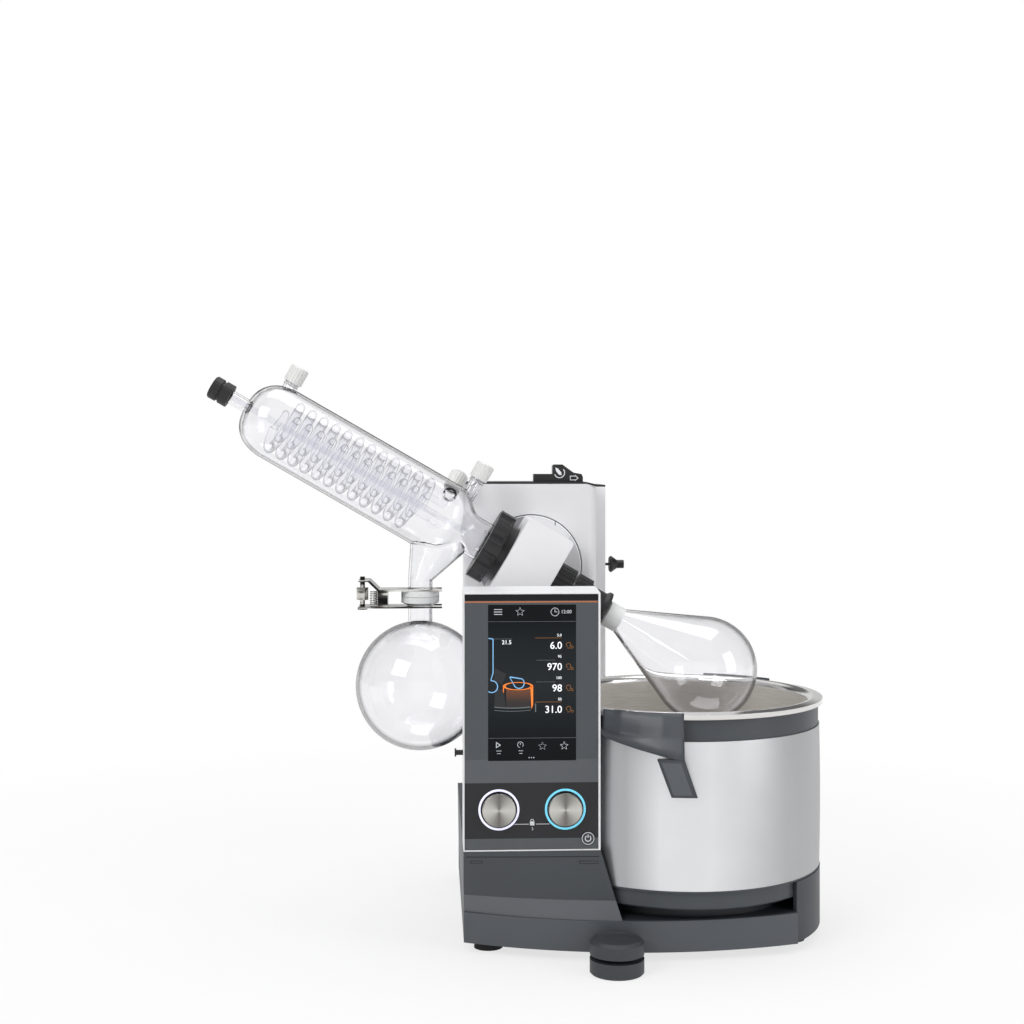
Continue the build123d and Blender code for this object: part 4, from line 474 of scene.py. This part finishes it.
def ring_colours(tree, lip=17.4):
    """Light of the dial rings: near white left, cyan right, with a dark lip inside a radius."""
    flat = stretched(tree, (1, 0, 1))
    reaches = []
    for dial in ("left_dial", "right_dial"):
        centre = middle(dial)
        reaches.append(measured(tree, "DISTANCE", flat, (centre.x, 0, centre.z)))
    outer = maths(tree, "GREATER_THAN", maths(tree, "MINIMUM", *reaches), lip * MM)
    right = maths(tree, "GREATER_THAN", coordinate(tree, "X"), console_x)
    glow = mixed(tree, right, linear(214, 214, 238), linear(104, 190, 216))
    return mixed(tree, outer, linear(34, 34, 38), glow)


# Where glass is ground, as heights or as a place along the drive axis, in millimetres
jacket_ground_top = 343.0
receiver_ground_foot = 329.0
flask_ground_end = 103.6


def ground_jacket(tree):
    return maths(tree, "LESS_THAN", coordinate(tree, "Z"), jacket_ground_top * MM)


def ground_receiver(tree):
    return maths(tree, "GREATER_THAN", coordinate(tree, "Z"), receiver_ground_foot * MM)


def ground_flask(tree):
    place = reach_along(tree, axis_point, along)
    return maths(tree, "LESS_THAN", place, flask_ground_end * MM)


# The finishes, and the pieces that wear them
cap_turn = radians(33.0)
rear_cap_way = upward * cos(cap_turn) + rearward * sin(cap_turn)
white_caps = (("vent", upward), ("vacuum", upward), ("rear", rear_cap_way))
# The tower foot's lighter band at its lower edge is painted light; it runs all round the foot
foot_painted_light = height_zones(38.0, 105.0, ((38.0, linear(90, 93, 98)), (56.5, linear(60, 64, 69))))
panel_tones = height_zones(104.0, 349.0, (
    (104.0, linear(84, 87, 90)),
    (116.4, linear(46, 46, 48)),
    (168.8, linear(90, 93, 97)),
    (190.6, linear(80, 84, 88)),
    (341.0, linear(24, 24, 26)),
))
screen_tones = height_zones(190.0, 338.0, (
    (190.0, linear(13, 16, 18)),
    (211.0, linear(15, 18, 21)),
    (212.0, linear(20, 24, 27)),
    (262.0, linear(38, 42, 45)),
    (300.0, linear(30, 34, 37)),
    (320.5, linear(20, 24, 27)),
    (321.5, linear(15, 18, 20)),
), "LINEAR")
# The shell's silver carries a painted fall-off of light and shade along X
shell_silver = moulded("silver_lacquer_painted_falloff", shell_painted_falloff, 0.34, 0.03, grain=2500.0)
shell_silver.node_tree.nodes["Principled BSDF"].inputs["Metallic"].default_value = 0.85
bright_steel = metal("bright_steel", linear(205, 204, 202), 0.16)
duct_glass = clear_glass("duct_glass")

finish_of = {
    moulded("white_lacquered_casing", linear(230, 230, 232), 0.42): (
        "console_housing", "column_cover", "drive_housing",
    ),
    moulded("pale_head_casing", linear(226, 226, 228), 0.42): ("head_housing",),
    # The tilt disc's grey carries painted shade beside the collar and the hub nut
    moulded("tilt_disc_grey_painted_shade", disc_painted_shade, 0.42): ("tilt_disc",),
    ribbed_cap("feed_cap_black", "feed_cap", linear(22, 22, 23), along, 24, 0.3): ("feed_cap",),
    moulded("dark_slate_base", linear(46, 49, 56), 0.45, 0.1): (
        "base_housing", "base_bottom_plate", "foot_outrigger",
    ),
    # The tower foot's grey carries a painted light band at its lower edge
    moulded("tower_foot_grey_painted_light", foot_painted_light, 0.45, 0.1): ("tower_foot_cover",),
    moulded("base_front_face", linear(76, 80, 85), 0.42, 0.12): ("base_front_cover",),
    moulded("grip_grey", linear(62, 66, 72), 0.34, 0.08, 6.0): ("bath_handles",),
    moulded("levelling_knob_grey", linear(54, 57, 61), 0.5, 0.15): ("levelling_foot",),
    moulded("bath_band_grey", linear(62, 66, 71), 0.42): ("bath_band", "bath_bottom_ring"),
    moulded("black_trim", linear(26, 26, 28), 0.42): (
        "hose_clip", "head_lid", "column_cap", "tilt_slider", "stop_knob", "mains_inlet",
    ),
    moulded("union_nut_black", linear(30, 30, 32), 0.3, 0.1, 1.2): (
        "union_nut", "condenser_collar", "hub_nut", "clip_ring", "flask_clip",
    ),
    moulded("front_panel_grey", panel_tones, 0.32, 0.02, 0.3, 1500.0, 0.02, 0.2): ("front_plate",),
    moulded("display_glass_black", screen_tones, 0.14, 0.0, 0.2, 900.0, 0.01, 0.1): (
        "display_screen",
    ),
    moulded("rubber_black", linear(24, 24, 25), 0.75, 0.2): (
        "rubber_feet", "drive_belt", "vapour_seal",
    ),
    moulded("board_green", linear(30, 90, 50), 0.5): ("control_board",),
    moulded("power_button_dark", linear(52, 53, 55), 0.35): ("power_button",),
    shell_silver: ("bath_shell",),
    pot_finish(): ("bath_pot",),
    bright_steel: (
        "guide_rods", "actuator_rod", "drive_hub", "hub_bearings", "motor_pulley",
        "heating_element", "head_frame",
    ),
    metal("cast_aluminium", linear(170, 170, 172), 0.5): (
        "lift_carriage", "lift_actuator", "drive_motor",
    ),
    polished_spring_steel("clamp_steel_painted_streaks"): ("clamp_forks", "clamp_screw", "clamp_nut"),
    clear_glass("jacket_glass", ground_jacket): ("condenser_jacket",),
    clear_glass("receiver_glass", ground_receiver): ("receiving_flask",),
    clear_glass("flask_glass", ground_flask): ("evaporating_flask",),
    duct_glass: ("vapour_duct",),
    thin_tube_glass("coil_glass", linear(78, 78, 84)): ("cooling_coil", "feed_tube"),
    lit("dial_light_ring", ring_colours, 0.65): ("light_rings",),
}
for dial in ("left_dial", "right_dial"):
    finish_of[spun_dial(f"{dial}_steel", dial)] = (dial,)
for use, way in white_caps:
    cap = f"{use}_cap"
    finish_of[ribbed_cap(f"{cap}_white", cap, linear(226, 226, 224), way, 18)] = (cap,)

for finish, dressed in finish_of.items():
    for name in dressed:
        piece = nodes[name]
        if len(piece.material_slots) == 0:
            piece.data.materials.append(finish)
        for slot in piece.material_slots:
            slot.material = finish


# Pieces made here. Marks are drawn in millimetres; these are their heights off what they lie on
mark_height = 0.08
print_height = 0.05
faint_height = 0.04
dim_height = 0.03


def front_place(x, y, z=0.0):
    """Matrix from millimetres (right, up, out to the front) round a point to the object."""
    turn = Matrix(((1, 0, 0), (0, 0, -1), (0, 1, 0))).to_4x4()
    return Matrix.Translation((x, y, z)) @ turn @ Matrix.Scale(MM, 4)


def axis_frame(origin, direction):
    """Matrix from millimetres with Z along a direction to the object."""
    turn = direction.to_track_quat("Z", "Y").to_matrix().to_4x4()
    return Matrix.Translation(origin) @ turn @ Matrix.Scale(MM, 4)


def make_piece(name, body, material, rides, place=None, smooth=False):
    """Finished object from a bmesh, with its place in its mesh."""
    if place is not None:
        bmesh.ops.transform(body, matrix=place, verts=body.verts)
    bmesh.ops.remove_doubles(body, verts=body.verts, dist=0.001 * MM)
    bmesh.ops.recalc_face_normals(body, faces=body.faces)
    if smooth:
        for face in body.faces:
            face.smooth = True
    mesh = bpy.data.meshes.new(name)
    body.to_mesh(mesh)
    body.free()
    mesh.materials.append(material)
    piece = bpy.data.objects.new(name, mesh)
    scene.collection.objects.link(piece)
    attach(piece, rides)


def raised(body, faces, height, way=(0, 0, 1)):
    """Give thin faces a thickness along a direction."""
    grown = bmesh.ops.extrude_face_region(body, geom=faces)
    corners = [item for item in grown["geom"] if isinstance(item, bmesh.types.BMVert)]
    bmesh.ops.translate(body, verts=corners, vec=Vector(way) * height)


def laid_patch(body, node, x, z, width, tall, lean=0.0, thick=0.12, step=3.0):
    """Thin patch pressed on a node's front round (x, z), its top leaning left by a length."""
    across = max(1, int(width / step))
    grid = bmesh.ops.create_grid(body, x_segments=across, y_segments=1, size=0.5)
    for corner in grid["verts"]:
        right = x + corner.co.x * width - corner.co.y * lean
        height = z + corner.co.y * tall
        before = Vector((right * MM, -1, height * MM))
        corner.co = nodes[node].ray_cast(before, rearward)[1]
    faces = [face for face in body.faces if all(corner in grid["verts"] for corner in face.verts)]
    raised(body, faces, thick * MM, forward)


def outline(body, points, height=mark_height):
    """Thin raised shape from an outline of (x, y) points."""
    corners = [body.verts.new((x, y, 0)) for x, y in points]
    raised(body, [body.faces.new(corners)], height)


def outlines(body, shapes, height=mark_height):
    """Thin raised shapes, each from its own outline."""
    for points in shapes:
        outline(body, points, height)


def bar(body, x, y, width, tall, height=mark_height):
    """Thin raised rectangle round a middle."""
    left, right = x - width / 2, x + width / 2
    foot, top = y - tall / 2, y + tall / 2
    outline(body, ((left, foot), (right, foot), (right, top), (left, top)), height)


def arc_band(body, x, y, radius, width, start=0, end=360, height=mark_height, steps=28):
    """Thin raised arc between two angles in degrees, spun from one short edge."""
    first = Vector((cos(radians(start)), sin(radians(start)), 0))
    centre = Vector((x, y, 0))
    ends = [body.verts.new(centre + first * reach) for reach in (radius, radius - width)]
    body.edges.new(ends)
    before = set(body.faces)
    bmesh.ops.spin(
        body, geom=ends + [body.edges.get(ends)], cent=centre, axis=(0, 0, 1), dvec=(0, 0, 0),
        angle=radians(end - start), steps=steps, use_merge=end - start == 360,
    )
    raised(body, [face for face in body.faces if face not in before], height)


def hollow_star(body, x, y, radius, width, notch_share=0.45):
    """Outline of a five-pointed star."""
    rings = []
    for size in (radius, radius - width):
        reaches = [size if corner % 2 == 0 else size * notch_share for corner in range(10)]
        rings.append([
            (x + reach * cos(radians(90 + 36 * corner)), y + reach * sin(radians(90 + 36 * corner)))
            for corner, reach in enumerate(reaches)
        ])
    outer, inner = rings
    for one in range(10):
        two = (one + 1) % 10
        outline(body, (outer[one], outer[two], inner[two], inner[one]))


def figures(body, text, x, y, size, weight=0.0):
    """Plain figures, right-aligned on a point."""
    curve = bpy.data.curves.new("figures", "FONT")
    curve.body = text
    curve.size = size
    curve.align_x = "RIGHT"
    curve.align_y = "CENTER"
    curve.extrude = mark_height / 2
    curve.offset = weight
    curve.resolution_u = 3
    holder = bpy.data.objects.new("figures", curve)
    scene.collection.objects.link(holder)
    bpy.context.view_layer.update()
    mesh = bpy.data.meshes.new_from_object(holder)
    mesh.transform(Matrix.Translation((x, y, mark_height / 2)))
    body.from_mesh(mesh)
    bpy.data.objects.remove(holder)
    bpy.data.curves.remove(curve)
    bpy.data.meshes.remove(mesh)


def oval_band(body, x, y, width, tall, thick):
    """Thin raised oval ring, drawn as a round band and pressed flat."""
    ring = bmesh.new()
    arc_band(ring, 0, 0, width / 2, thick, steps=48)
    flatten = Matrix.Translation((x, y, 0)) @ Matrix.Diagonal((1, tall / width, 1, 1))
    bmesh.ops.transform(ring, matrix=flatten, verts=ring.verts)
    mesh = bpy.data.meshes.new("oval")
    ring.to_mesh(mesh)
    ring.free()
    body.from_mesh(mesh)
    bpy.data.meshes.remove(mesh)


first_row, row_step, row_count = 298.6, 20.2, 4
row_heights = [first_row - row_step * row for row in range(row_count)]


def display_readings(place):
    """Large readings with their smaller set values above them, and one reading on the left."""
    pale = bmesh.new()
    for reading, target, height in zip(
        ("6.0", "970", "98", "31.0"), ("5.0", "95", "100", "50"), row_heights
    ):
        figures(pale, reading, 28.5, height, 9.6, 0.05)
        figures(pale, target, 28.0, height + 9.9, 3.6)
    figures(pale, "21.5", -19.5, 301.9, 5.4, 0.03)
    white = lit("display_white", linear(226, 230, 234), 0.75)
    make_piece("display_figures", pale, white, "stand", place)


def display_signs(place):
    """Small symbols in the display's top and bottom rows."""
    signs = bmesh.new()
    figures(signs, "12:00", 37.5, 330.6, 4.6)
    for line in (-1, 0, 1):
        bar(signs, -32.3, 330.8 + 2.3 * line, 7.8, 0.6)
    hollow_star(signs, -11.5, 330.9, 4.4, 0.6)
    arc_band(signs, 21.6, 330.6, 4.0, 0.45)
    bar(signs, 21.6, 331.8, 0.5, 2.8)
    bar(signs, 22.6, 330.6, 2.2, 0.5)
    outlines(signs, (
        ((-34.2, 208.0), (-33.6, 207.0), (-33.6, 203.0), (-34.2, 202.0)),
        ((-34.2, 208.0), (-29.6, 205.0), (-30.8, 205.0), (-33.6, 207.0)),
        ((-29.6, 205.0), (-34.2, 202.0), (-33.6, 203.0), (-30.8, 205.0)),
    ))
    arc_band(signs, -11.2, 205.2, 2.9, 0.4, -40, 260)
    bar(signs, -11.2, 206.0, 0.4, 1.8)
    hollow_star(signs, 9.8, 203.6, 4.0, 0.4)
    hollow_star(signs, 30.4, 203.8, 4.2, 0.7)
    for x, width in ((-31.6, 5.0), (-10.8, 4.4)):
        bar(signs, x, 199.4, width, 0.4)
        bar(signs, x, 196.9, width * 0.7, 0.4)
    for dot in (-1, 0, 1):
        arc_band(signs, -0.7 + 2.2 * dot, 192.9, 0.5, 0.45, steps=10)
    pale_grey = lit("display_pale_grey", linear(176, 181, 186), 0.6)
    make_piece("display_signs", signs, pale_grey, "stand", place)


def display_lines(place):
    """Fine lines between the rows and under the drawing, two dim shapes, and amber symbols."""
    fine = bmesh.new()
    for x, height, width in (
        (0, 321.6, 83.0), (0, 211.4, 83.0), (-27.6, 305.3, 17.0), (13.0, 285.0, 18.0),
        (13.0, 264.4, 18.0),
    ):
        bar(fine, x, height, width, 0.3)
    bow = 150.0
    for height, width in ((239.4, 0.9), (236.6, 0.5)):
        arc_band(fine, -18.6, height + bow, bow, width, 263.4, 276.6)
    bar(fine, 3.2, 240.0, 1.0, 8.0)
    line_grey = lit("display_grey", linear(92, 97, 101), 0.35)
    make_piece("display_fine_lines", fine, line_grey, "stand", place)

    dim = bmesh.new()
    outlines(dim, (
        ((-35.0, 258.4), (-27.0, 256.8), (-25.0, 241.0), (-36.0, 241.0)),
        ((-35.0, 277.6), (-24.4, 272.0), (-28.4, 262.0), (-36.4, 266.0)),
    ), dim_height)
    shadow_grey = lit("display_shadow_grey", linear(24, 26, 28), 0.25)
    make_piece("display_dim_shapes", dim, shadow_grey, "stand", place)

    warm = bmesh.new()
    for height in row_heights:
        arc_band(warm, 34.6, height + 1.0, 2.3, 0.45, -60, 240)
        bar(warm, 34.6, height - 2.2, 2.4, 0.45)
        arc_band(warm, 37.9, height - 1.4, 1.3, 0.4, steps=14)
    for height in (row_heights[0], row_heights[-1]):
        bar(warm, 15.4, height + 7.4, 25.0, 0.35)
    amber = lit("display_amber", linear(128, 82, 30), 0.55)
    make_piece("display_symbols", warm, amber, "stand", place)


def display_drawing(place):
    """Plain drawing of a bath in orange, and of a flask and a condenser in blue."""
    bath = bmesh.new()
    oval_band(bath, -13.4, 260.6, 28.6, 7.6, 2.4)
    outlines(bath, (
        ((-1.7, 259.8), (0.9, 260.6), (0.9, 243.0), (-0.7, 238.6)),
        ((-27.7, 260.4), (-26.6, 259.6), (-26.9, 254.0), (-27.7, 255.6)),
    ))
    orange = lit("display_orange", linear(214, 112, 36), 0.75)
    make_piece("display_bath_outline", bath, orange, "stand", place)

    filling = bmesh.new()
    sides = ((-24.6, 258.4), (-13.4, 256.6), (-1.8, 258.4), (-1.8, 239.0), (-24.6, 239.0))
    outline(filling, sides, faint_height)
    fading = height_zones(238.0, 259.0, (
        (238.0, linear(16, 18, 20)),
        (246.0, linear(34, 26, 22)),
        (259.0, linear(96, 52, 26)),
    ), "LINEAR")
    fading_orange = lit("display_fading_orange", fading, 0.5)
    make_piece("display_bath_filling", filling, fading_orange, "stand", place)

    flask = bmesh.new()
    arc_band(flask, -12.5, 263.4, 5.4, 0.9, 205, 415)
    arc_band(flask, -38.3, 260.2, 6.0, 0.9, -124, 98)
    outlines(flask, (
        ((-21.6, 268.8), (-20.8, 269.8), (-9.6, 267.9), (-9.8, 267.0)),
        ((-21.6, 268.8), (-20.7, 268.5), (-16.6, 261.4), (-17.4, 261.2)),
        ((-41.4, 306.4), (-36.6, 305.6), (-36.9, 304.7), (-41.4, 305.5)),
        ((-37.5, 304.9), (-36.6, 304.9), (-36.6, 273.0), (-37.5, 273.0)),
        ((-36.6, 273.0), (-37.5, 273.0), (-39.6, 266.2), (-38.8, 266.2)),
    ))
    blue = lit("display_blue", linear(112, 164, 206), 0.6)
    make_piece("display_flask_outline", flask, blue, "stand", place)


def panel_marks():
    """Orange line over the display, fine line and lock between the dials, and the power sign."""
    place = front_place(console_x, plate_low.y)
    width = (plate_high.x - plate_low.x) / MM
    shift = ((plate_high.x + plate_low.x) / 2 - console_x) / MM
    line = bmesh.new()
    bar(line, shift, 340.2, width - 0.8, 1.3, print_height)
    orange = lit("orange_print", linear(176, 104, 62), 0.1)
    make_piece("panel_orange_line", line, orange, "stand", place)

    marks = bmesh.new()
    for x, height, wide, tall in (
        (-10.2, 129.9, 14.4, 0.5), (10.2, 129.9, 13.0, 0.5), (0, 130.6, 4.2, 3.8)
    ):
        bar(marks, x, height, wide, tall, print_height)
    arc_band(marks, 0, 132.9, 1.8, 0.6, 0, 180, print_height)
    figures(marks, "2", 1.2, 125.4, 3.6)
    white = lit("panel_white_print", linear(190, 193, 196), 0.2)
    make_piece("panel_lock_line", marks, white, "stand", place)

    button = middle("power_button")
    x, height = (button.x - console_x) / MM, button.z / MM
    power = bmesh.new()
    arc_band(power, x, height, 5.9, 0.5, height=print_height)
    arc_band(power, x, height, 3.0, 0.7, 125, 415, print_height)
    bar(power, x, height + 2.2, 0.7, 2.8, print_height)
    place = front_place(console_x, Vector(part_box("power_button")[0]).y)
    sign = lit("power_white_print", linear(205, 208, 212), 0.3)
    make_piece("power_symbol", power, sign, "power_button", place)


def slider_marks():
    """Plain leaf-and-circle and arrow printed on the slider's front."""
    low, high = (Vector(corner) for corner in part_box("tilt_slider"))
    top = high.z / MM
    marks = bmesh.new()
    arc_band(marks, 27.0, top - 8.6, 5.8, 0.9, 200, 400, print_height)
    for points in (
        ((22.6, -3.0), (25.2, -4.2), (28.8, -8.2), (29.2, -11.2)),
        ((22.6, -3.0), (29.2, -11.2), (26.4, -10.8), (23.4, -7.2)),
        ((38.0, -12.6), (38.0, -11.9), (43.4, -11.9), (43.4, -12.6)),
        ((38.0, -16.6), (38.0, -15.9), (43.4, -15.9), (43.4, -16.6)),
        ((38.0, -15.9), (38.0, -12.6), (38.7, -12.6), (38.7, -15.9)),
        ((43.4, -11.0), (47.2, -14.2), (46.2, -14.2), (43.4, -12.2)),
        ((47.2, -14.2), (43.4, -17.4), (43.4, -16.2), (46.2, -14.2)),
    ):
        outline(marks, [(x, top + below) for x, below in points], print_height)
    white = lit("slider_white_print", linear(214, 216, 220), 0.25)
    make_piece("slider_print", marks, white, "slider", front_place(low.x, low.y))


def disc_marks():
    """Index line on the tilt disc, its dark rim line, and a painted highlight along the rim inside it.
    """
    low, high = (Vector(corner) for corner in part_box("tilt_disc"))
    place = front_place(pivot.x, low.y, pivot.z)
    radius = (high.x - low.x) / 2 / MM
    start, end, steps = -80, 175, 96
    index = bmesh.new()
    angle, reach = radians(61), radius - 0.6
    bar(index, reach * cos(angle), reach * sin(angle) - 2.0, 0.9, 4.2, print_height)
    arc_band(index, 0, 0, radius - 0.05, 0.5, start, end, print_height, steps)
    dark = lit("disc_dark_print", linear(66, 66, 70), 0.0)
    make_piece("disc_index", index, dark, "drive", place)
    # The pale, faintly glowing strip inside the rim line is a painted highlight
    gleam = bmesh.new()
    arc_band(gleam, 0, 0, radius - 0.7, 0.6, start, end, faint_height, steps)
    white = lit("disc_rim_painted_highlight", linear(246, 246, 247), 0.1)
    make_piece("disc_rim_painted_gleam", gleam, white, "drive", place)


def foot_details():
    """Seam and two narrow slots near the tower foot's top, and the panel on the handle's leg."""
    middle_x = console_x / MM
    slot_middle, slot_tall, thin = 93.1, 2.4, 0.45
    lines = bmesh.new()
    laid_patch(lines, "tower_foot_cover", middle_x + 0.6, 98.6, 126.0, 0.8)
    for x, width in ((-52.7, 11.6), (53.7, 17.6)):
        for side in (-0.5, 0.5):
            height = slot_middle + side * slot_tall
            laid_patch(lines, "tower_foot_cover", middle_x + x, height, width, thin)
        for side in (-0.5, 0.5):
            end = middle_x + x + side * width
            laid_patch(lines, "tower_foot_cover", end, slot_middle, thin, 2.8)
    make_piece("foot_seams", lines, moulded("seam_black", linear(18, 20, 23), 0.6), "stand")
    panel = bmesh.new()
    laid_patch(panel, "bath_handles", 142.6, 178.0, 17.6, 33.0, 12.9)
    leg_grey = moulded("leg_panel_grey", linear(84, 88, 93), 0.4, 0.1)
    make_piece("handle_leg_panel", panel, leg_grey, "bath")


def turned_ring(body, profile):
    """Closed ring from a profile of (height, radius) points turned about Z."""
    corners = [body.verts.new((radius, 0, height)) for height, radius in profile]
    face = body.faces.new(corners)
    edges = list(face.edges)
    bmesh.ops.delete(body, geom=[face], context="FACES_ONLY")
    bmesh.ops.spin(
        body, geom=corners + edges, cent=(0, 0, 0), axis=(0, 0, 1), dvec=(0, 0, 0),
        angle=2 * pi, steps=40, use_merge=True,
    )


def cap_threads():
    """Glass screw threads that show under the three white caps."""
    first, pitch, root, crest = -12.2, 2.2, 7.05, 8.1
    for use, way in white_caps:
        body = bmesh.new()
        for low in (first, first + pitch):
            turned_ring(body, ((low, root), (low + 0.5, crest), (low + 1.1, crest), (low + 1.6, root)))
        place = axis_frame(middle(f"{use}_cap"), way)
        make_piece(f"{use}_thread", body, duct_glass, "drive", place, smooth=True)


def clamp_spring():
    """Small coil spring beside the fork clamp's screw."""
    low = Vector(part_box("clamp_forks")[0])
    screw = middle("clamp_screw")
    wire_radius, coil_radius, length, turns, steps = 0.55, 3.6, 14.0, 8, 160
    coil = bmesh.new()
    ring = bmesh.ops.create_circle(coil, cap_ends=False, segments=8, radius=wire_radius)
    upright = Matrix.Translation((coil_radius, 0, 0)) @ Matrix.Rotation(pi / 2, 4, "X")
    bmesh.ops.transform(coil, matrix=upright, verts=ring["verts"])
    bmesh.ops.spin(
        coil, geom=ring["verts"] + list(coil.edges), cent=(0, 0, 0), axis=(0, 0, 1),
        dvec=(0, 0, length / steps), angle=2 * pi * turns, steps=steps,
    )
    place = Matrix.Translation((screw.x + 11.5 * MM, screw.y, low.z + 2.4 * MM))
    place = place @ Matrix.Scale(MM, 4)
    make_piece("clamp_spring", coil, bright_steel, "drive", place, smooth=True)


screen_place = front_place(console_x, screen_low.y)
display_readings(screen_place)
display_signs(screen_place)
display_lines(screen_place)
display_drawing(screen_place)
panel_marks()
slider_marks()
disc_marks()
foot_details()
cap_threads()
clamp_spring()


# Floor, light and camera
def seen_directly(tree):
    """One for camera, glossy and transmission rays, else nought."""
    path = tree.nodes.new("ShaderNodeLightPath").outputs
    seen = maths(tree, "MAXIMUM", path["Is Camera Ray"], path["Is Glossy Ray"])
    return maths(tree, "MAXIMUM", seen, path["Is Transmission Ray"])


def pale_floor():
    """Wide pale floor that keeps the shadow near the object and runs out to white."""
    body = bmesh.new()
    bmesh.ops.create_grid(body, x_segments=1, y_segments=1, size=9.0)
    mesh = bpy.data.meshes.new("floor")
    body.to_mesh(mesh)
    body.free()
    floor = bpy.data.objects.new("floor", mesh)
    scene.collection.objects.link(floor)
    material, tree, shader = shader_of("pale_floor")
    base = noise_toned(tree, object_noise(tree, 3.0), grey(0.86), grey(0.88))
    wire(tree, base, shader.inputs["Base Color"])
    shader.inputs["Roughness"].default_value = 0.9
    shader.inputs["Specular IOR Level"].default_value = 0.0
    glow = tree.nodes.new("ShaderNodeEmission").outputs["Emission"]
    reach = measured(tree, "LENGTH", object_place(tree))
    far = spread(tree, reach, 0.72, 1.0, 0.3, 1.1)
    share = maths(tree, "MULTIPLY", far, seen_directly(tree))
    show(tree, chosen(tree, share, shader.outputs["BSDF"], glow))
    floor.data.materials.append(material)


def studio_world():
    """White to the camera; to glass, white and dark high above; to gloss, pale and dark bands."""
    world = bpy.data.worlds.new("studio")
    world.use_nodes = True
    tree = world.node_tree
    tree.nodes.clear()
    split = tree.nodes.new("ShaderNodeSeparateXYZ")
    wire(tree, tree.nodes.new("ShaderNodeTexCoord").outputs["Generated"], split.inputs["Vector"])
    path = tree.nodes.new("ShaderNodeLightPath").outputs

    def backdrop(colour, strength=1.0):
        node = tree.nodes.new("ShaderNodeBackground")
        node.inputs["Strength"].default_value = strength
        wire(tree, colour, node.inputs["Color"])
        return node.outputs["Background"]

    def greys(axis, stops):
        share = spread(tree, split.outputs[axis], 0.0, 1.0, -1.0, 1.0)
        return toned(tree, share, [(place, grey(value)) for place, value in stops])

    through = greys("Z", ((0.0, 0.6), (0.45, 1.0), (0.72, 1.0), (0.88, 0.3)))
    bands = greys("Z", (
        (0.0, 0.5), (0.5, 0.8), (0.59, 0.85), (0.64, 0.2), (0.74, 0.2), (0.8, 1.0), (1.0, 0.9),
    ))
    sides = greys("X", ((0.0, 0.35), (0.2, 0.6), (0.38, 1.0), (0.56, 0.95), (0.8, 0.42), (1.0, 0.3)))
    surface = backdrop((0.97, 0.97, 0.975, 1), 0.5)
    for ray, colour in (
        ("Is Glossy Ray", mixed(tree, 1.0, bands, sides, "MULTIPLY")),
        ("Is Transmission Ray", through),
        ("Is Camera Ray", grey(1.0)),
    ):
        surface = chosen(tree, path[ray], surface, backdrop(colour))
    output = tree.nodes.new("ShaderNodeOutputWorld")
    wire(tree, surface, output.inputs["Surface"])
    scene.world = world
    scene.cycles.transparent_max_bounces = 40
    scene.cycles.transmission_bounces = 24
    scene.cycles.max_bounces = 26


def softbox(name, place, size, power, aim=(0, 0, 0.28)):
    """Rectangular area lamp aimed at the object's middle."""
    lamp = bpy.data.lights.new(name, "AREA")
    lamp.shape = "RECTANGLE"
    lamp.size, lamp.size_y = size
    lamp.energy = power
    holder = bpy.data.objects.new(name, lamp)
    holder.location = place
    holder.rotation_euler = (Vector(aim) - Vector(place)).to_track_quat("-Z", "Y").to_euler()
    scene.collection.objects.link(holder)


def photo_camera():
    """Camera at the photograph's viewing place: level, with a small shift for its framing."""
    lens = bpy.data.cameras.new("camera")
    lens.sensor_width = 36.0
    lens.lens = 56.25
    lens.shift_y = -0.0503
    left_of_bath, before_bath, eye_height = 0.2547, 1.6292, 0.474
    turn = atan2(0.0506, 0.9987)
    camera = bpy.data.objects.new("camera", lens)
    camera.location = (bath_middle.x - left_of_bath, bath_middle.y - before_bath, eye_height)
    camera.rotation_euler = (pi / 2, 0, -turn)
    scene.collection.objects.link(camera)
    scene.camera = camera


pale_floor()
studio_world()
softbox("key_softbox", (-1.5, -1.6, 1.7), (1.2, 1.2), 26)
softbox("fill_softbox", (1.8, -1.3, 0.9), (0.9, 1.5), 14)
softbox("top_softbox", (0.1, 0.2, 2.2), (1.6, 1.2), 16)
scene.view_settings.view_transform = "Standard"
photo_camera()
